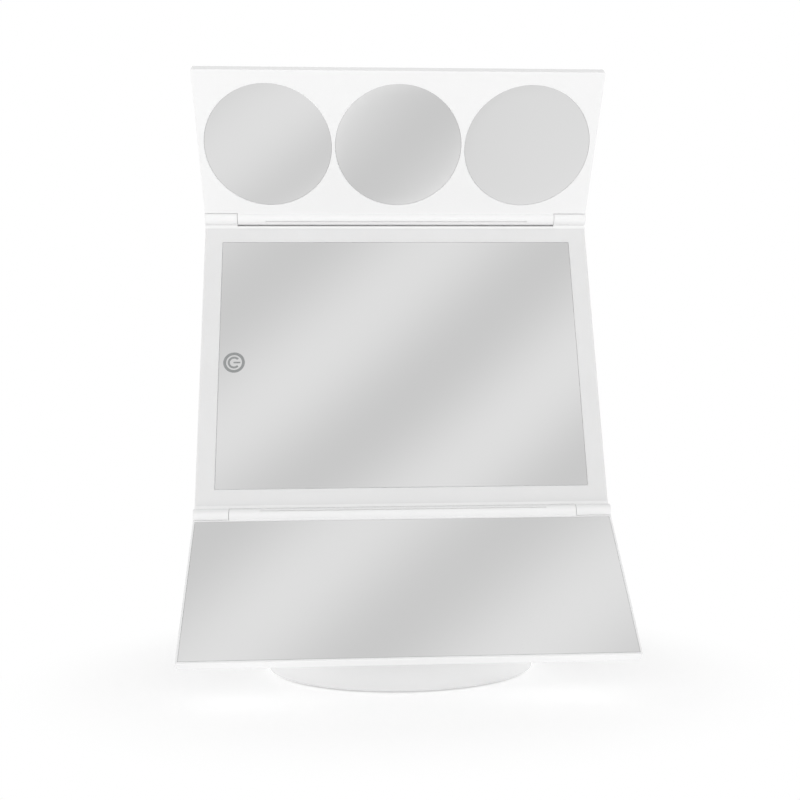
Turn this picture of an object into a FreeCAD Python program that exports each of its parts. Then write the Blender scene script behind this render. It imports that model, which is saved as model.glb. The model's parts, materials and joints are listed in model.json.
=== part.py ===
import FreeCAD, Part
import math
import os
import re

import Sketcher

# Folding vanity mirror on a round weighted base: a lit centre panel with two hinged wings, on a
# quarter-turn hub and a friction tilt joint. Millimetres. The origin is the centre of the base's
# underside, Z is up, X runs along the wing hinges and the mirrors look towards -Y.

doc = FreeCAD.newDocument("FoldingVanityMirror")
sheet = doc.addObject("Spreadsheet::Sheet", "Sizes")

SIZES = [
    # centre panel
    ("panel_width", "280", "centre panel and wings, across"),
    ("head_depth", "16", "mirror face to the back of the rear cover"),
    ("corner", "1.2", "outline corners of the panel and the wings"),
    ("wall", "2.2", "moulded wall"),
    ("side_wall", "3.2", "side walls of the rear cover"),
    ("glass", "3", "flat mirror glass and the frosted light border"),
    ("glass_fit", "0.15", "gap round each glass"),
    ("border_height", "205.6", "frosted border, over all"),
    ("border_side", "13.1", "frosted border left and right of the mirror"),
    ("border_end", "11.1", "frosted border above and below the mirror"),
    ("rail", "2.2", "frame rail above and below the frosted border"),
    ("rail_soft", "0.5", "softened front edges of the rails and of the wings' fronts"),
    ("border_soft", "0.8", "rounded front edges of the frosted border's sides"),
    ("ledge", "2", "width of the ledge that carries a glass edge"),
    ("frame_depth", "9", "mirror face to the seam with the rear cover"),
    ("channel_floor", "1.2", "floor of the light channel"),
    ("channel_wall", "0.8", "light channel's inner wall to the mirror, and its ends to the rails"),
    ("gusset", "18", "corner gussets that take the case screws"),
    ("case_screw_in", "6.5", "case screws, from the corners of the opening"),
    ("back_round", "4", "rounded rear edge of the rear cover"),
    # wing hinges
    ("barrel", "4.4", "hinge barrel radius"),
    ("barrel_gap", "0.4", "running gap round the barrels and ears"),
    ("ear_width", "23.5", "ear at each end of a hinge"),
    ("ear_gap", "0.3", "end play between ear and barrel"),
    ("closed_gap", "0.9", "gap between the mirror faces when a wing is closed"),
    ("face_rise", "0.9", "hinge axis to the wing's face"),
    ("stop_out", "9.5", "hinge axis to the end of the stop ledge"),
    ("stop_down", "4.55", "hinge axis to the top of the stop ledge"),
    ("pin", "1.5", "hinge pin radius"),
    ("pin_recess", "1", "end of a hinge pin below the ear's side"),
    ("pin_fit", "0.05", "running clearance round a pin"),
    ("press", "0.02", "clearance of pressed and screwed fits"),
    ("pin_reach", "14", "hinge pin inside the barrel"),
    ("bore_spare", "1", "barrel's bore beyond the pin"),
    ("sleeve", "2.6", "friction sleeve radius"),
    ("sleeve_length", "13", "friction sleeve"),
    ("sleeve_slit", "0.8", "slit along each friction sleeve"),
    ("groove_end", "20.2", "barrel's end to the finger groove along it"),
    ("groove_width", "0.9", "finger groove"),
    ("groove_depth", "1", "finger groove"),
    # wings
    ("wing_thick", "9", "wing, face to back"),
    ("wing_meet", "1", "gap between the free edges of the closed wings"),
    ("wing_round", "2.6", "rounded rear edges of a wing"),
    ("lip", "1.4", "rim round the lower wing's glass"),
    ("glass_start", "5.8", "hinge axis to the glass"),
    ("wing_floor", "2", "floor of the wing shells"),
    ("rib", "1.8", "ribs under glass and bezel"),
    ("bezel", "2.6", "front plate of the upper wing"),
    ("round_side", "4.5", "outer magnifying mirrors to the wing's ends"),
    ("round_space", "2.6", "gap between the magnifying mirrors"),
    ("round_low", "1.05", "magnifying mirrors' centres towards the hinge from mid wing"),
    ("curve_low", "1000", "hollow radius of the weakest magnifying mirror"),
    ("curve_middle", "750", "hollow radius of the middle magnifying mirror"),
    ("curve_high", "625", "hollow radius of the strongest magnifying mirror"),
    ("round_glass", "2", "thickness of the magnifying mirrors"),
    ("round_sink", "0.3", "edge of the magnifying mirrors below the bezel face"),
    # pose at rest
    ("lean_angle", "13.5", "lean of the panel from the vertical, top to the rear"),
    ("upper_angle", "126.5", "angle between the upper wing and the panel"),
    ("lower_angle", "153.6", "angle between the lower wing and the panel"),
    # tilt joint and turning hub
    ("pivot_height", "209.6", "table to the tilt axis"),
    ("pivot_depth", "41.1", "mirror face to the tilt axis"),
    ("knuckle", "9", "radius of the tilt knuckle"),
    ("knuckle_half", "15.9", "half the length of the stem's knuckle"),
    ("friction_washer", "0.5", "friction washer thickness"),
    ("cheek", "5", "thickness of the bracket's cheeks"),
    ("tilt_bolt", "3", "tilt bolt radius"),
    ("hub_flange", "3", "thickness of the hub's flange"),
    ("hub_flange_radius", "28", "hub flange"),
    ("hub_screw_in", "6", "hub screws, from the flange's edge"),
    ("hub_spigot", "10", "spigot that turns in the bracket"),
    ("spigot_fit", "0.08", "running clearance of the spigot"),
    ("wire_bore", "4.5", "wire passage through the hub"),
    ("bracket_plate", "6", "thickness of the bracket's plate"),
    ("bracket_radius", "30", "bracket's plate"),
    ("slide_washer", "0.6", "thickness of the sliding washer"),
    ("end_play", "0.2", "end play of the turning hub"),
    ("retainer", "2", "thickness of the retaining plate"),
    ("hub_thread", "5", "screws in the hub"),
    ("thread_spare", "0.5", "blind hole beyond a screw's end, or screw short of a through hole"),
    ("thread_skin", "1.5", "material over the end of the case screws' holes"),
    ("post", "5", "radius of the rear cover's screw posts"),
    ("washer_in", "1", "friction washers, inside the knuckle's edge"),
    ("washer_fit", "0.5", "gap inside the sliding washer"),
    ("tilt_nut", "4", "thickness of the tilt bolt's nut"),
    ("retainer_radius", "15", "retaining plate"),
    ("stop_lug", "2", "radius of the turn stop"),
    ("stop_orbit", "23", "turn stop, from the turning axis"),
    ("turn_angle", "90", "travel of the turning hub"),
    ("stop_angle", "6", "stop groove past the lug's centre, degrees"),
    # stem
    ("stem", "9", "stem radius"),
    ("stem_wall", "2.5", "stem tube wall"),
    ("stem_wire", "1.8", "wire passage in the stem head"),
    ("wire_drop", "6", "tilt axis to the mouth of the wire passage"),
    ("neck", "2", "stem head between the tube and the knuckle"),
    ("shank_end", "2", "threaded shank beyond its nut"),
    ("shank", "7.8", "radius of the threaded shank in the base"),
    ("stem_nut", "6", "height of the stem nut"),
    ("nut_corner", "13", "stem nut, centre to corner"),
    ("stem_washer", "2", "thickness of the washer under the base cover"),
    ("collar", "14", "radius of the trim collar"),
    ("collar_height", "5", "trim collar"),
    ("collar_lip", "1", "width of the trim collar's top"),
    # base
    ("base_radius", "95", "base"),
    ("base_height", "22", "table to the top of the base"),
    ("base_round", "5", "rounded rim of the base"),
    ("foot_rise", "1.2", "table to the underside of the base"),
    ("base_wall", "2.2", "wall of the base cover"),
    ("plate", "2.5", "thickness of the base plate"),
    ("plate_fit", "0.3", "gap round the base plate and the battery door"),
    ("foot", "7", "radius of the rubber feet"),
    ("foot_thick", "2.2", "rubber feet"),
    ("foot_in", "11", "rubber feet, from the base's edge"),
    ("screw", "1.5", "radius of the small screws"),
    ("screw_head", "2.7", "radius of the small screws' heads"),
    ("head_thick", "1.4", "thickness of the small screws' heads"),
    ("base_thread", "12", "shanks of the base screws"),
    ("screw_in", "15", "base screws, from the base's edge"),
    ("boss", "4", "radius of screw bosses"),
    ("ballast", "4", "thickness of the steel ballast plate"),
    ("ballast_in", "9", "steel ballast plate, inside the base's edge"),
    ("ballast_hole", "20", "radius of the ballast plate's centre hole"),
    ("washer_radius", "17", "washer under the base cover"),
    # battery bay, four AA cells side by side
    ("cell", "7.2", "cell radius"),
    ("cell_length", "50.5", "cell, with its nub"),
    ("cell_nub", "2.7", "nub radius"),
    ("cell_nub_height", "1.3", "nub height"),
    ("cell_pitch", "15", "spacing of the cells"),
    ("cell_gap", "0.3", "cells to the door and to the roof of the bay"),
    ("leaf", "3.6", "radius of the contact leaf springs"),
    ("contact", "0.4", "contact sheet"),
    ("bay_wall", "1.3", "walls of the battery bay"),
    ("bay_side", "0.2", "outer cells to the bay's sides"),
    ("bay_play", "0.3", "lengthwise play of the cells"),
    ("bay_gap", "1.5", "battery bay to the stem's washer"),
    ("door", "2", "battery door thickness"),
    # supply inlet
    ("inlet_width", "9", "mouth of the supply inlet"),
    ("inlet_height", "3.3", "mouth of the supply inlet"),
    ("inlet_depth", "8", "supply inlet, front to back"),
    ("inlet_shell", "0.5", "shell of the supply inlet"),
    ("inlet_sink", "0.4", "mouth of the supply inlet below the base's rim"),
    ("tongue_width", "6.6", "tongue in the supply inlet"),
    ("tongue_thick", "0.7", "tongue in the supply inlet"),
    ("tongue_length", "5.5", "tongue in the supply inlet"),
    ("board", "1.6", "circuit board thickness"),
    ("board_left", "70", "driver board's outer corner, left of the panel's centre"),
    ("board_low", "55", "driver board's outer corner, below the panel's centre"),
    ("board_long", "45", "driver board"),
    ("board_wide", "26", "driver board"),
    ("board_post", "2.5", "posts under the driver board"),
    ("board_hole", "3", "posts, from the board's edges"),
    ("touch_in", "9.6", "mirror's edge to the touch key's centre"),
    ("touch_radius", "7", "touch sensor"),
    # lights
    ("strip", "1", "light strip board thickness"),
    ("strip_width", "6", "light strip board width"),
    ("led_pitch", "18", "spacing of the lights"),
    ("led_long", "3.6", "light, along the strip"),
    ("led_wide", "2.8", "light, across the strip"),
]

DERIVED = [
    ("half_width", "=panel_width / 2"),
    ("hinge_rise", "=closed_gap + face_rise"),
    ("border_half", "=border_height / 2"),
    ("half_height", "=border_half + rail"),
    ("hinge_up", "=half_height + barrel + barrel_gap"),
    ("mirror_x", "=half_width - border_side"),
    ("mirror_y", "=border_half - border_end"),
    ("opening_x", "=mirror_x - ledge"),
    ("opening_y", "=mirror_y - ledge"),
    ("channel_in_x", "=mirror_x + glass_fit + channel_wall"),
    ("channel_in_y", "=mirror_y + glass_fit + channel_wall"),
    ("channel_out_x", "=half_width - wall"),
    ("channel_out_y", "=border_half - channel_wall"),
    ("case_screw_x", "=opening_x - case_screw_in"),
    ("case_screw_y", "=opening_y - case_screw_in"),
    ("barrel_half", "=half_width - ear_width - ear_gap"),
    ("groove_length", "=2 * barrel_half - 2 * groove_end"),
    ("ear_in", "=half_width - ear_width"),
    ("body_start", "=barrel + barrel_gap"),
    ("wing_reach", "=hinge_up - wing_meet / 2"),
    ("wing_back", "=wing_thick - face_rise"),
    ("round", "=(panel_width - 2 * round_side - 2 * round_space) / 6"),
    ("round_pitch", "=2 * round + round_space"),
    ("round_up", "=(body_start + wing_reach) / 2 - round_low"),
    ("seat_height", "=wing_back - wing_floor / 2 + face_rise - round_sink - round_glass - glass_fit"),
    ("wing_glass_x", "=half_width - lip"),
    ("wing_glass_end", "=wing_reach - lip"),
    ("plate_front", "=pivot_depth - head_depth - hub_flange - slide_washer"),
    ("plate_back", "=plate_front - bracket_plate"),
    ("cheek_in", "=knuckle_half + friction_washer"),
    ("cheek_out", "=cheek_in + cheek"),
    ("hub_screw_orbit", "=(hub_spigot + wire_bore) / 2"),
    ("hub_case_orbit", "=hub_flange_radius - hub_screw_in"),
    ("tray_pitch", "=(2 * (wing_glass_x - ledge) + rib) / 4"),
    ("cover_under", "=base_height - base_wall"),
    ("plate_top", "=foot_rise + plate"),
    ("foot_orbit", "=base_radius - foot_in"),
    ("screw_orbit", "=base_radius - screw_in"),
    ("ballast_radius", "=base_radius - ballast_in"),
    ("bay_half", "=2 * cell_pitch + bay_side"),
    ("bay_length", "=cell_length + leaf + 2 * contact + bay_play"),
    ("bay_rear", "=0 - washer_radius - bay_gap - bay_wall"),
    ("bay_front", "=bay_rear - bay_length"),
    ("cell_up", "=foot_rise + door + cell_gap + cell"),
    ("bay_roof", "=cell_up + cell + cell_gap"),
    ("board_x", "=0 - board_left"),
    ("board_y", "=0 - board_low"),
    ("inlet_up", "=plate_top + ballast + board + inlet_height / 2 + inlet_shell"),
]


def fill_sheet():
    row = 1
    for alias, value, note in SIZES:
        sheet.set(f"A{row}", note)
        sheet.set(f"B{row}", value)
        sheet.setAlias(f"B{row}", alias)
        row += 1
    for alias, formula in DERIVED:
        sheet.set(f"A{row}", "worked out")
        sheet.set(f"B{row}", formula)
        sheet.setAlias(f"B{row}", alias)
        row += 1
    doc.recompute()


def bound(text):
    """The text as an expression on the sheet: each name in it is one of the sheet's aliases."""
    return re.sub(r"[a-z][a-z_]*", lambda name: "Sizes." + name.group(), text)


def number(text):
    """The value of a sum of products of aliases and plain numbers, such as 'wall + round / 2'."""
    total = 0.0
    for sign, term in re.findall(r"([+-]?)\s*([^+-]+)", text.replace(" ", "")):
        value = 1.0
        for operator, factor in re.findall(r"([*/]?)([a-z_]+|[0-9.]+)", term):
            amount = float(factor) if factor[0].isdigit() else float(sheet.get(factor))
            value = value / amount if operator == "/" else value * amount
        total += -value if sign == "-" else value
    return total


TINY = 1e-3  # how far apart two places may be and still count as one

# ---- frames -----------------------------------------------------------------------------------

X_AXIS = FreeCAD.Vector(1, 0, 0)
Y_AXIS = FreeCAD.Vector(0, 1, 0)
Z_AXIS = FreeCAD.Vector(0, 0, 1)


def move(x=0.0, y=0.0, z=0.0, axis=X_AXIS, angle=0.0):
    return FreeCAD.Placement(FreeCAD.Vector(x, y, z), FreeCAD.Rotation(axis, angle))


# ---- document objects -------------------------------------------------------------------------

NODES = []


def new_body(label, place=None):
    """A PartDesign body that becomes one node."""
    made = doc.addObject("PartDesign::Body", label)
    made.Label = label
    made.Placement = place or move()
    NODES.append(made)
    return made


def new_sketch(body, role, lift="0"):
    """A sketch on one of the body's origin planes, lifted along the plane's normal."""
    plane = next(item for item in body.Origin.OriginFeatures if item.Role == role)
    made = body.newObject("Sketcher::SketchObject", body.Label + "_sketch")
    made.AttachmentSupport = [(plane, "")]
    made.MapMode = "FlatFace"
    made.setExpression("AttachmentOffset.Base.z", bound(lift))
    return made


def fix(sketch, kind, geometry, point, text):
    """Ties a point's distance from the sketch origin to the sheet."""
    index = sketch.addConstraint(Sketcher.Constraint(kind, -1, 1, geometry, point, number(text)))
    sketch.setExpression(f"Constraints[{index}]", bound(text))


def polygon(sketch, corners):
    """A closed outline of straight lines through corners given as pairs of sheet texts."""
    points = [FreeCAD.Vector(number(x), number(y), 0) for x, y in corners]
    first = sketch.GeometryCount
    for start, end in zip(points, points[1:] + points[:1]):
        sketch.addGeometry(Part.LineSegment(start, end), False)
    count = len(points)
    for step in range(count):
        line = first + step
        following = first + (step + 1) % count
        sketch.addConstraint(Sketcher.Constraint("Coincident", line, 2, following, 1))
    for step, (x, y) in enumerate(corners):
        fix(sketch, "DistanceX", first + step, 1, x)
        fix(sketch, "DistanceY", first + step, 1, y)


def rectangle(sketch, left, right, low, high):
    polygon(sketch, [(left, low), (right, low), (right, high), (left, high)])


def circle(sketch, x, y, radius):
    centre = FreeCAD.Vector(number(x), number(y), 0)
    index = sketch.addGeometry(Part.Circle(centre, Z_AXIS, number(radius)), False)
    fix(sketch, "DistanceX", index, 3, x)
    fix(sketch, "DistanceY", index, 3, y)
    limit = sketch.addConstraint(Sketcher.Constraint("Radius", index, number(radius)))
    sketch.setExpression(f"Constraints[{limit}]", bound(radius))


def extrude(body, sketch, length, kind="PartDesign::Pad", back=False, both=False):
    made = body.newObject(kind, body.Label + "_" + kind.split("::")[1].lower())
    made.Profile = sketch
    made.setExpression("Length", bound(length))
    made.Reversed = back
    if both:
        made.SideType = "Symmetric"
    sketch.Visibility = False
    return made


def pad(body, role, lift, length, draw, back=False, both=False):
    """Adds material: draw(sketch) makes the outline, which starts at lift above the plane."""
    sketch = new_sketch(body, role, lift)
    draw(sketch)
    return extrude(body, sketch, length, "PartDesign::Pad", back, both)


def pocket(body, role, lift, length, draw, back=False, both=False):
    """Cuts against the plane's normal from lift, or along it with back, and checks that it cut."""
    doc.recompute()
    before = body.Shape.Volume
    sketch = new_sketch(body, role, lift)
    draw(sketch)
    made = extrude(body, sketch, length, "PartDesign::Pocket", back, both)
    doc.recompute()
    if body.Shape.Volume > before - TINY:
        raise RuntimeError(f"a pocket in {body.Label} cuts nothing")
    return made


def turned(body, corners):
    """A ring or disc turned about Z from corners given as radius and height."""
    sketch = new_sketch(body, "XZ_Plane")
    polygon(sketch, corners)
    made = body.newObject("PartDesign::Revolution", body.Label + "_turned")
    made.Profile = sketch
    made.ReferenceAxis = (sketch, ["V_Axis"])
    made.Angle = 360.0
    return made


def soften(body, radius, wanted, kind="PartDesign::Fillet"):
    """Rounds, or chamfers, the edges that wanted(edge) picks."""
    doc.recompute()
    names = [f"Edge{i}" for i, edge in enumerate(body.Shape.Edges, 1) if wanted(local(body, edge))]
    if not names:
        raise RuntimeError(f"no edges to soften on {body.Label}")
    carrier = body.Tip
    made = body.newObject(kind, body.Label + "_" + kind.split("::")[1].lower())
    made.Base = (carrier, names)
    made.setExpression("Radius" if kind.endswith("Fillet") else "Size", bound(radius))
    doc.recompute()
    return made


def local(body, edge):
    """The edge in the body's own frame."""
    copy = edge.copy()
    copy.Placement = body.Placement.inverse().multiply(copy.Placement)
    return copy


def box_of(edge):
    return edge.BoundBox


def upright(edge):
    """True for an edge that runs along the local Z axis."""
    limits = box_of(edge)
    return limits.XLength < TINY and limits.YLength < TINY and limits.ZLength > TINY


def at_level(text):
    """A test for edges that lie flat at one local height."""
    height = number(text)
    return lambda edge: max(abs(box_of(edge).ZMin - height), abs(box_of(edge).ZMax - height)) < TINY


def row(body, feature, direction, pitch, count):
    """Repeats a feature in a straight row."""
    made = body.newObject("PartDesign::LinearPattern", body.Label + "_row")
    made.Originals = [feature]
    made.Direction = (feature.Profile[0], [direction])
    made.Mode = "Spacing"
    made.setExpression("Offset", bound(pitch))
    made.Occurrences = count
    body.Tip = made
    return made


def group(label, shapes):
    """Like pieces, such as the screws of one cover, as separate solids in one node."""
    made = doc.addObject("Part::Compound", label)
    made.Label = label
    made.Links = shapes
    NODES.append(made)
    return made


def primitive(kind, name, place, **texts):
    made = doc.addObject(kind, name)
    for key, text in texts.items():
        made.setExpression(key, bound(text))
    made.Placement = place
    return made


def screw_at(name, place, shank):
    """A small screw: its head lies below the origin and its shank runs up local Z."""
    head = primitive("Part::Cylinder", name + "_head", move(z=-number("head_thick")),
                     Radius="screw_head", Height="head_thick")
    body = primitive("Part::Cylinder", name + "_shank", move(), Radius="screw", Height=shank)
    drive = primitive("Part::Cylinder", name + "_drive", move(z=-number("head_thick")),
                      Radius="screw_head / 3", Height="head_thick / 2")
    whole = doc.addObject("Part::Fuse", name + "_whole")
    whole.Base = head
    whole.Tool = body
    made = doc.addObject("Part::Cut", name)
    made.Base = whole
    made.Tool = drive
    made.Placement = place
    return made


# ---- base -------------------------------------------------------------------------------------

BASE_SCREW_ANGLES = (-15, 60, 120, 195)


def spots(orbit, angles):
    """Centres on a circle round the base's axis, as pairs of sheet texts."""
    found = []
    for angle in angles:
        across = FreeCAD.Rotation(Z_AXIS, angle).multVec(X_AXIS)
        found.append((f"{orbit} * {across.x:.6f}", f"{orbit} * {across.y:.6f}"))
    return [tuple(signed(text) for text in pair) for pair in found]


def signed(text):
    """Writes 'size * -0.5' as '0 - size * 0.5'."""
    return "0 - " + text.replace("-", "") if "-" in text else text


def base_cover():
    """Round shell with a bore for the stem, screw bosses and a mouth for the supply inlet."""
    body = new_body("base_cover")
    turned(body, [
        ("shank + press", "base_height"), ("base_radius", "base_height"), ("base_radius", "foot_rise"),
        ("base_radius - base_wall", "foot_rise"), ("base_radius - base_wall", "cover_under"),
        ("shank + press", "cover_under"),
    ])
    rim = number("base_radius")
    top = number("base_height")
    soften(body, "base_round",
           lambda edge: at_level("base_height")(edge) and box_of(edge).XMax > rim - TINY)
    inner = rim - number("base_wall")
    soften(body, "base_round - base_wall",
           lambda edge: at_level("cover_under")(edge) and box_of(edge).XMax > inner - TINY)
    for centre in spots("screw_orbit", BASE_SCREW_ANGLES):
        pad(body, "XY_Plane", "plate_top", "cover_under - plate_top + base_wall / 4",
            lambda sketch, at=centre: ring_outline(sketch, at, "boss", "screw + press"))
    pocket(body, "XZ_Plane", "0 - base_radius - base_wall / 2", "2 * base_wall",
           lambda sketch: stadium(sketch, "inlet_up", "inlet_shell + press"), back=True)
    return body


def stadium(sketch, up, grow):
    """Outline of the supply inlet's mouth, grown outwards: two half circles and two straight lines."""
    reach = number("inlet_width / 2 - inlet_height / 2")
    radius = number("inlet_height / 2 + " + grow)
    level = number(up)
    quarter = math.pi / 2
    right = sketch.addGeometry(Part.ArcOfCircle(
        Part.Circle(FreeCAD.Vector(reach, level, 0), Z_AXIS, radius), -quarter, quarter), False)
    left = sketch.addGeometry(Part.ArcOfCircle(
        Part.Circle(FreeCAD.Vector(-reach, level, 0), Z_AXIS, radius), quarter, 3 * quarter), False)
    top = sketch.addGeometry(Part.LineSegment(
        FreeCAD.Vector(-reach, level + radius, 0), FreeCAD.Vector(reach, level + radius, 0)), False)
    low = sketch.addGeometry(Part.LineSegment(
        FreeCAD.Vector(-reach, level - radius, 0), FreeCAD.Vector(reach, level - radius, 0)), False)
    for joint in ((top, 1, left, 1), (top, 2, right, 2), (low, 1, left, 2), (low, 2, right, 1)):
        sketch.addConstraint(Sketcher.Constraint("Tangent", *joint))
    sketch.addConstraint(Sketcher.Constraint("Equal", left, right))
    for arc, sign in ((left, -1), (right, 1)):
        fix(sketch, "DistanceX", arc, 3, signed_sum(sign, "inlet_width / 2 - inlet_height / 2"))
        fix(sketch, "DistanceY", arc, 3, up)
    limit = sketch.addConstraint(Sketcher.Constraint("Radius", right, radius))
    sketch.setExpression(f"Constraints[{limit}]", bound("inlet_height / 2 + " + grow))


def ring_outline(sketch, centre, outer, inner):
    """Two circles round one centre."""
    circle(sketch, *centre, outer)
    circle(sketch, *centre, inner)


def base_plate():
    """Bottom plate with the open battery bay, foot recesses and screw holes."""
    body = new_body("base_plate")
    pad(body, "XY_Plane", "foot_rise", "plate",
        lambda sketch: circle(sketch, "0", "0", "base_radius - base_wall - plate_fit"))
    pad(body, "XY_Plane", "foot_rise", "bay_roof + bay_wall - foot_rise",
        lambda sketch: rectangle(sketch, "0 - bay_half - bay_wall", "bay_half + bay_wall",
                                 "bay_front - bay_wall", "bay_rear + bay_wall"))
    pocket(body, "XY_Plane", "foot_rise", "bay_roof - foot_rise",
           lambda sketch: rectangle(sketch, "0 - bay_half", "bay_half", "bay_front", "bay_rear"), back=True)
    for centre in spots("screw_orbit", BASE_SCREW_ANGLES):
        pocket(body, "XY_Plane", "foot_rise", "plate",
               lambda sketch, at=centre: circle(sketch, *at, "screw + plate_fit"), back=True)
        pocket(body, "XY_Plane", "foot_rise", "head_thick",
               lambda sketch, at=centre: circle(sketch, *at, "screw_head + plate_fit"), back=True)
    for centre in foot_spots():
        pocket(body, "XY_Plane", "foot_rise", "foot_thick - foot_rise",
               lambda sketch, at=centre: circle(sketch, *at, "foot + press"), back=True)
    tab = ("0", "bay_rear + bay_wall + boss")
    pad(body, "XY_Plane", "plate_top - press", "ballast", lambda sketch: circle(sketch, *tab, "boss"))
    pocket(body, "XY_Plane", "foot_rise", "door",
           lambda sketch: rectangle(sketch, "0 - boss - plate_fit", "boss + plate_fit",
                                    "bay_rear", "bay_rear + bay_wall + 2 * boss + plate_fit"), back=True)
    pocket(body, "XY_Plane", "foot_rise", "plate + ballast - wall / 2",
           lambda sketch: circle(sketch, *tab, "screw + press"), back=True)
    return body


def foot_spots():
    """Four feet near the rim and one under the stem."""
    return spots("foot_orbit", (35, 145, 215, 325)) + [("0", "0")]


def base_feet():
    feet = []
    for centre in foot_spots():
        feet.append(primitive("Part::Cylinder", "foot", move(number(centre[0]), number(centre[1])),
                              Radius="foot", Height="foot_thick"))
    return group("base_feet", feet)


def battery_door():
    """Lid of the bay, with a tab for its screw."""
    body = new_body("battery_door")
    pad(body, "XY_Plane", "foot_rise", "door - press",
        lambda sketch: rectangle(sketch, "0 - bay_half + plate_fit", "bay_half - plate_fit",
                                 "bay_front + plate_fit", "bay_rear - plate_fit"))
    pad(body, "XY_Plane", "foot_rise", "door - press",
        lambda sketch: rectangle(sketch, "0 - boss", "boss", "bay_rear - boss",
                                 "bay_rear + bay_wall + 2 * boss"))
    pocket(body, "XY_Plane", "foot_rise", "door",
           lambda sketch: circle(sketch, "0", "bay_rear + bay_wall + boss", "screw + plate_fit"), back=True)
    pocket(body, "XY_Plane", "foot_rise", "head_thick",
           lambda sketch: circle(sketch, "0", "bay_rear + bay_wall + boss", "screw_head + press"),
           back=True)
    return body


def cell_x(place):
    """Across position of cell 0 to 3."""
    return number("cell_pitch") * (place - 1.5)


def aa_cell(place):
    """One cell along Y; neighbouring cells point opposite ways."""
    body = new_body(f"aa_cell_{place + 1}")
    turned(body, [
        ("0", "0"), ("cell", "0"), ("cell", "cell_length - cell_nub_height"),
        ("cell_nub", "cell_length - cell_nub_height"), ("cell_nub", "cell_length"), ("0", "cell_length"),
    ])
    height = number("cell_up")
    if place % 2:
        start = number("bay_rear - contact - leaf")
        body.Placement = move(cell_x(place), start, height, X_AXIS, 90)
    else:
        start = number("bay_front + contact + leaf")
        body.Placement = move(cell_x(place), start, height, X_AXIS, -90)
    return body


def contact_at(place, springy):
    """A contact sheet on the bay's end wall: a half-round leaf spring, or a plain sheet."""
    name = "leaf" if springy else "sheet"
    facing = -1 if bool(place % 2) == springy else 1
    wall_y = number("bay_front") if facing == 1 else number("bay_rear")
    sheet_y = wall_y if facing == 1 else wall_y - number("contact")
    plate = primitive("Part::Box", name + "_plate",
                      move(cell_x(place) - number("cell_nub") * 2, sheet_y, number("cell_up - leaf")),
                      Length="4 * cell_nub", Width="contact", Height="2 * leaf")
    if not springy:
        return plate
    centre_y = wall_y + facing * number("contact")
    left = move(cell_x(place) - number("cell_nub"), centre_y, number("cell_up"), Y_AXIS, 90)
    outer = primitive("Part::Cylinder", name + "_outer", left, Radius="leaf", Height="2 * cell_nub")
    inner = primitive("Part::Cylinder", name + "_inner", left, Radius="leaf - contact",
                      Height="2 * cell_nub")
    half = primitive("Part::Box", name + "_half",
                     move(cell_x(place) - number("cell_nub"),
                          centre_y if facing == 1 else centre_y - number("leaf"),
                          number("cell_up - leaf")),
                     Length="2 * cell_nub", Width="leaf", Height="2 * leaf")
    bow = cut(name + "_bow", outer, inner)
    bow = both_of(name + "_front", bow, half)
    return joined(name, plate, bow)


def cut(name, base, tool):
    made = doc.addObject("Part::Cut", name)
    made.Base = base
    made.Tool = tool
    return made


def both_of(name, base, tool):
    made = doc.addObject("Part::Common", name)
    made.Base = base
    made.Tool = tool
    return made


def joined(name, base, tool):
    made = doc.addObject("Part::Fuse", name)
    made.Base = base
    made.Tool = tool
    return made


def ballast_plate():
    """Steel disc on the base plate, cut out for the battery bay, the bosses and the stem."""
    body = new_body("ballast_plate")
    pad(body, "XY_Plane", "plate_top", "ballast",
        lambda sketch: ring_outline(sketch, ("0", "0"), "ballast_radius", "ballast_hole"))
    pocket(body, "XY_Plane", "plate_top", "ballast",
           lambda sketch: rectangle(sketch, "0 - bay_half - bay_wall - plate_fit",
                                    "bay_half + bay_wall + plate_fit",
                                    "0 - base_radius", "bay_rear + bay_wall + plate_fit"), back=True)
    for centre in spots("screw_orbit", BASE_SCREW_ANGLES):
        pocket(body, "XY_Plane", "plate_top", "ballast",
               lambda sketch, at=centre: circle(sketch, *at, "boss + plate_fit"), back=True)
    return body


def base_screws():
    under = number("foot_rise + head_thick")
    made = []
    for centre in spots("screw_orbit", BASE_SCREW_ANGLES):
        seat = move(number(centre[0]), number(centre[1]), under)
        made.append(screw_at("base_screw", seat, "base_thread"))
    return group("base_screws", made)


def door_screw():
    place = move(0, number("bay_rear + bay_wall + boss"), number("foot_rise + head_thick"))
    made = screw_at("door_screw", place, "plate + ballast - head_thick - wall")
    NODES.append(made)
    return made


def supply_inlet():
    """Metal shell of the low-voltage inlet in the rear of the base, with its tongue and board."""
    shell = new_body("supply_inlet")
    pad(shell, "XZ_Plane", "0 - base_radius + inlet_sink", "inlet_depth",
        lambda sketch: stadium(sketch, "inlet_up", "inlet_shell"))
    pocket(shell, "XZ_Plane", "0 - base_radius + inlet_sink", "inlet_depth - 2 * inlet_shell",
           lambda sketch: stadium(sketch, "inlet_up", "0"), back=True)
    pad(shell, "XZ_Plane", "0 - base_radius + inlet_sink + inlet_depth - 2 * inlet_shell", "tongue_length",
        lambda sketch: rectangle(sketch, "0 - tongue_width / 2", "tongue_width / 2",
                                 "inlet_up - tongue_thick / 2", "inlet_up + tongue_thick / 2"), back=True)
    board = new_body("inlet_board")
    pad(board, "XY_Plane", "plate_top + ballast", "board",
        lambda sketch: rectangle(sketch, "0 - inlet_width", "inlet_width",
                                 "ballast_radius - 2 * inlet_depth", "ballast_radius + inlet_depth / 2"))
    return shell, board


# ---- stem -------------------------------------------------------------------------------------

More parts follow.
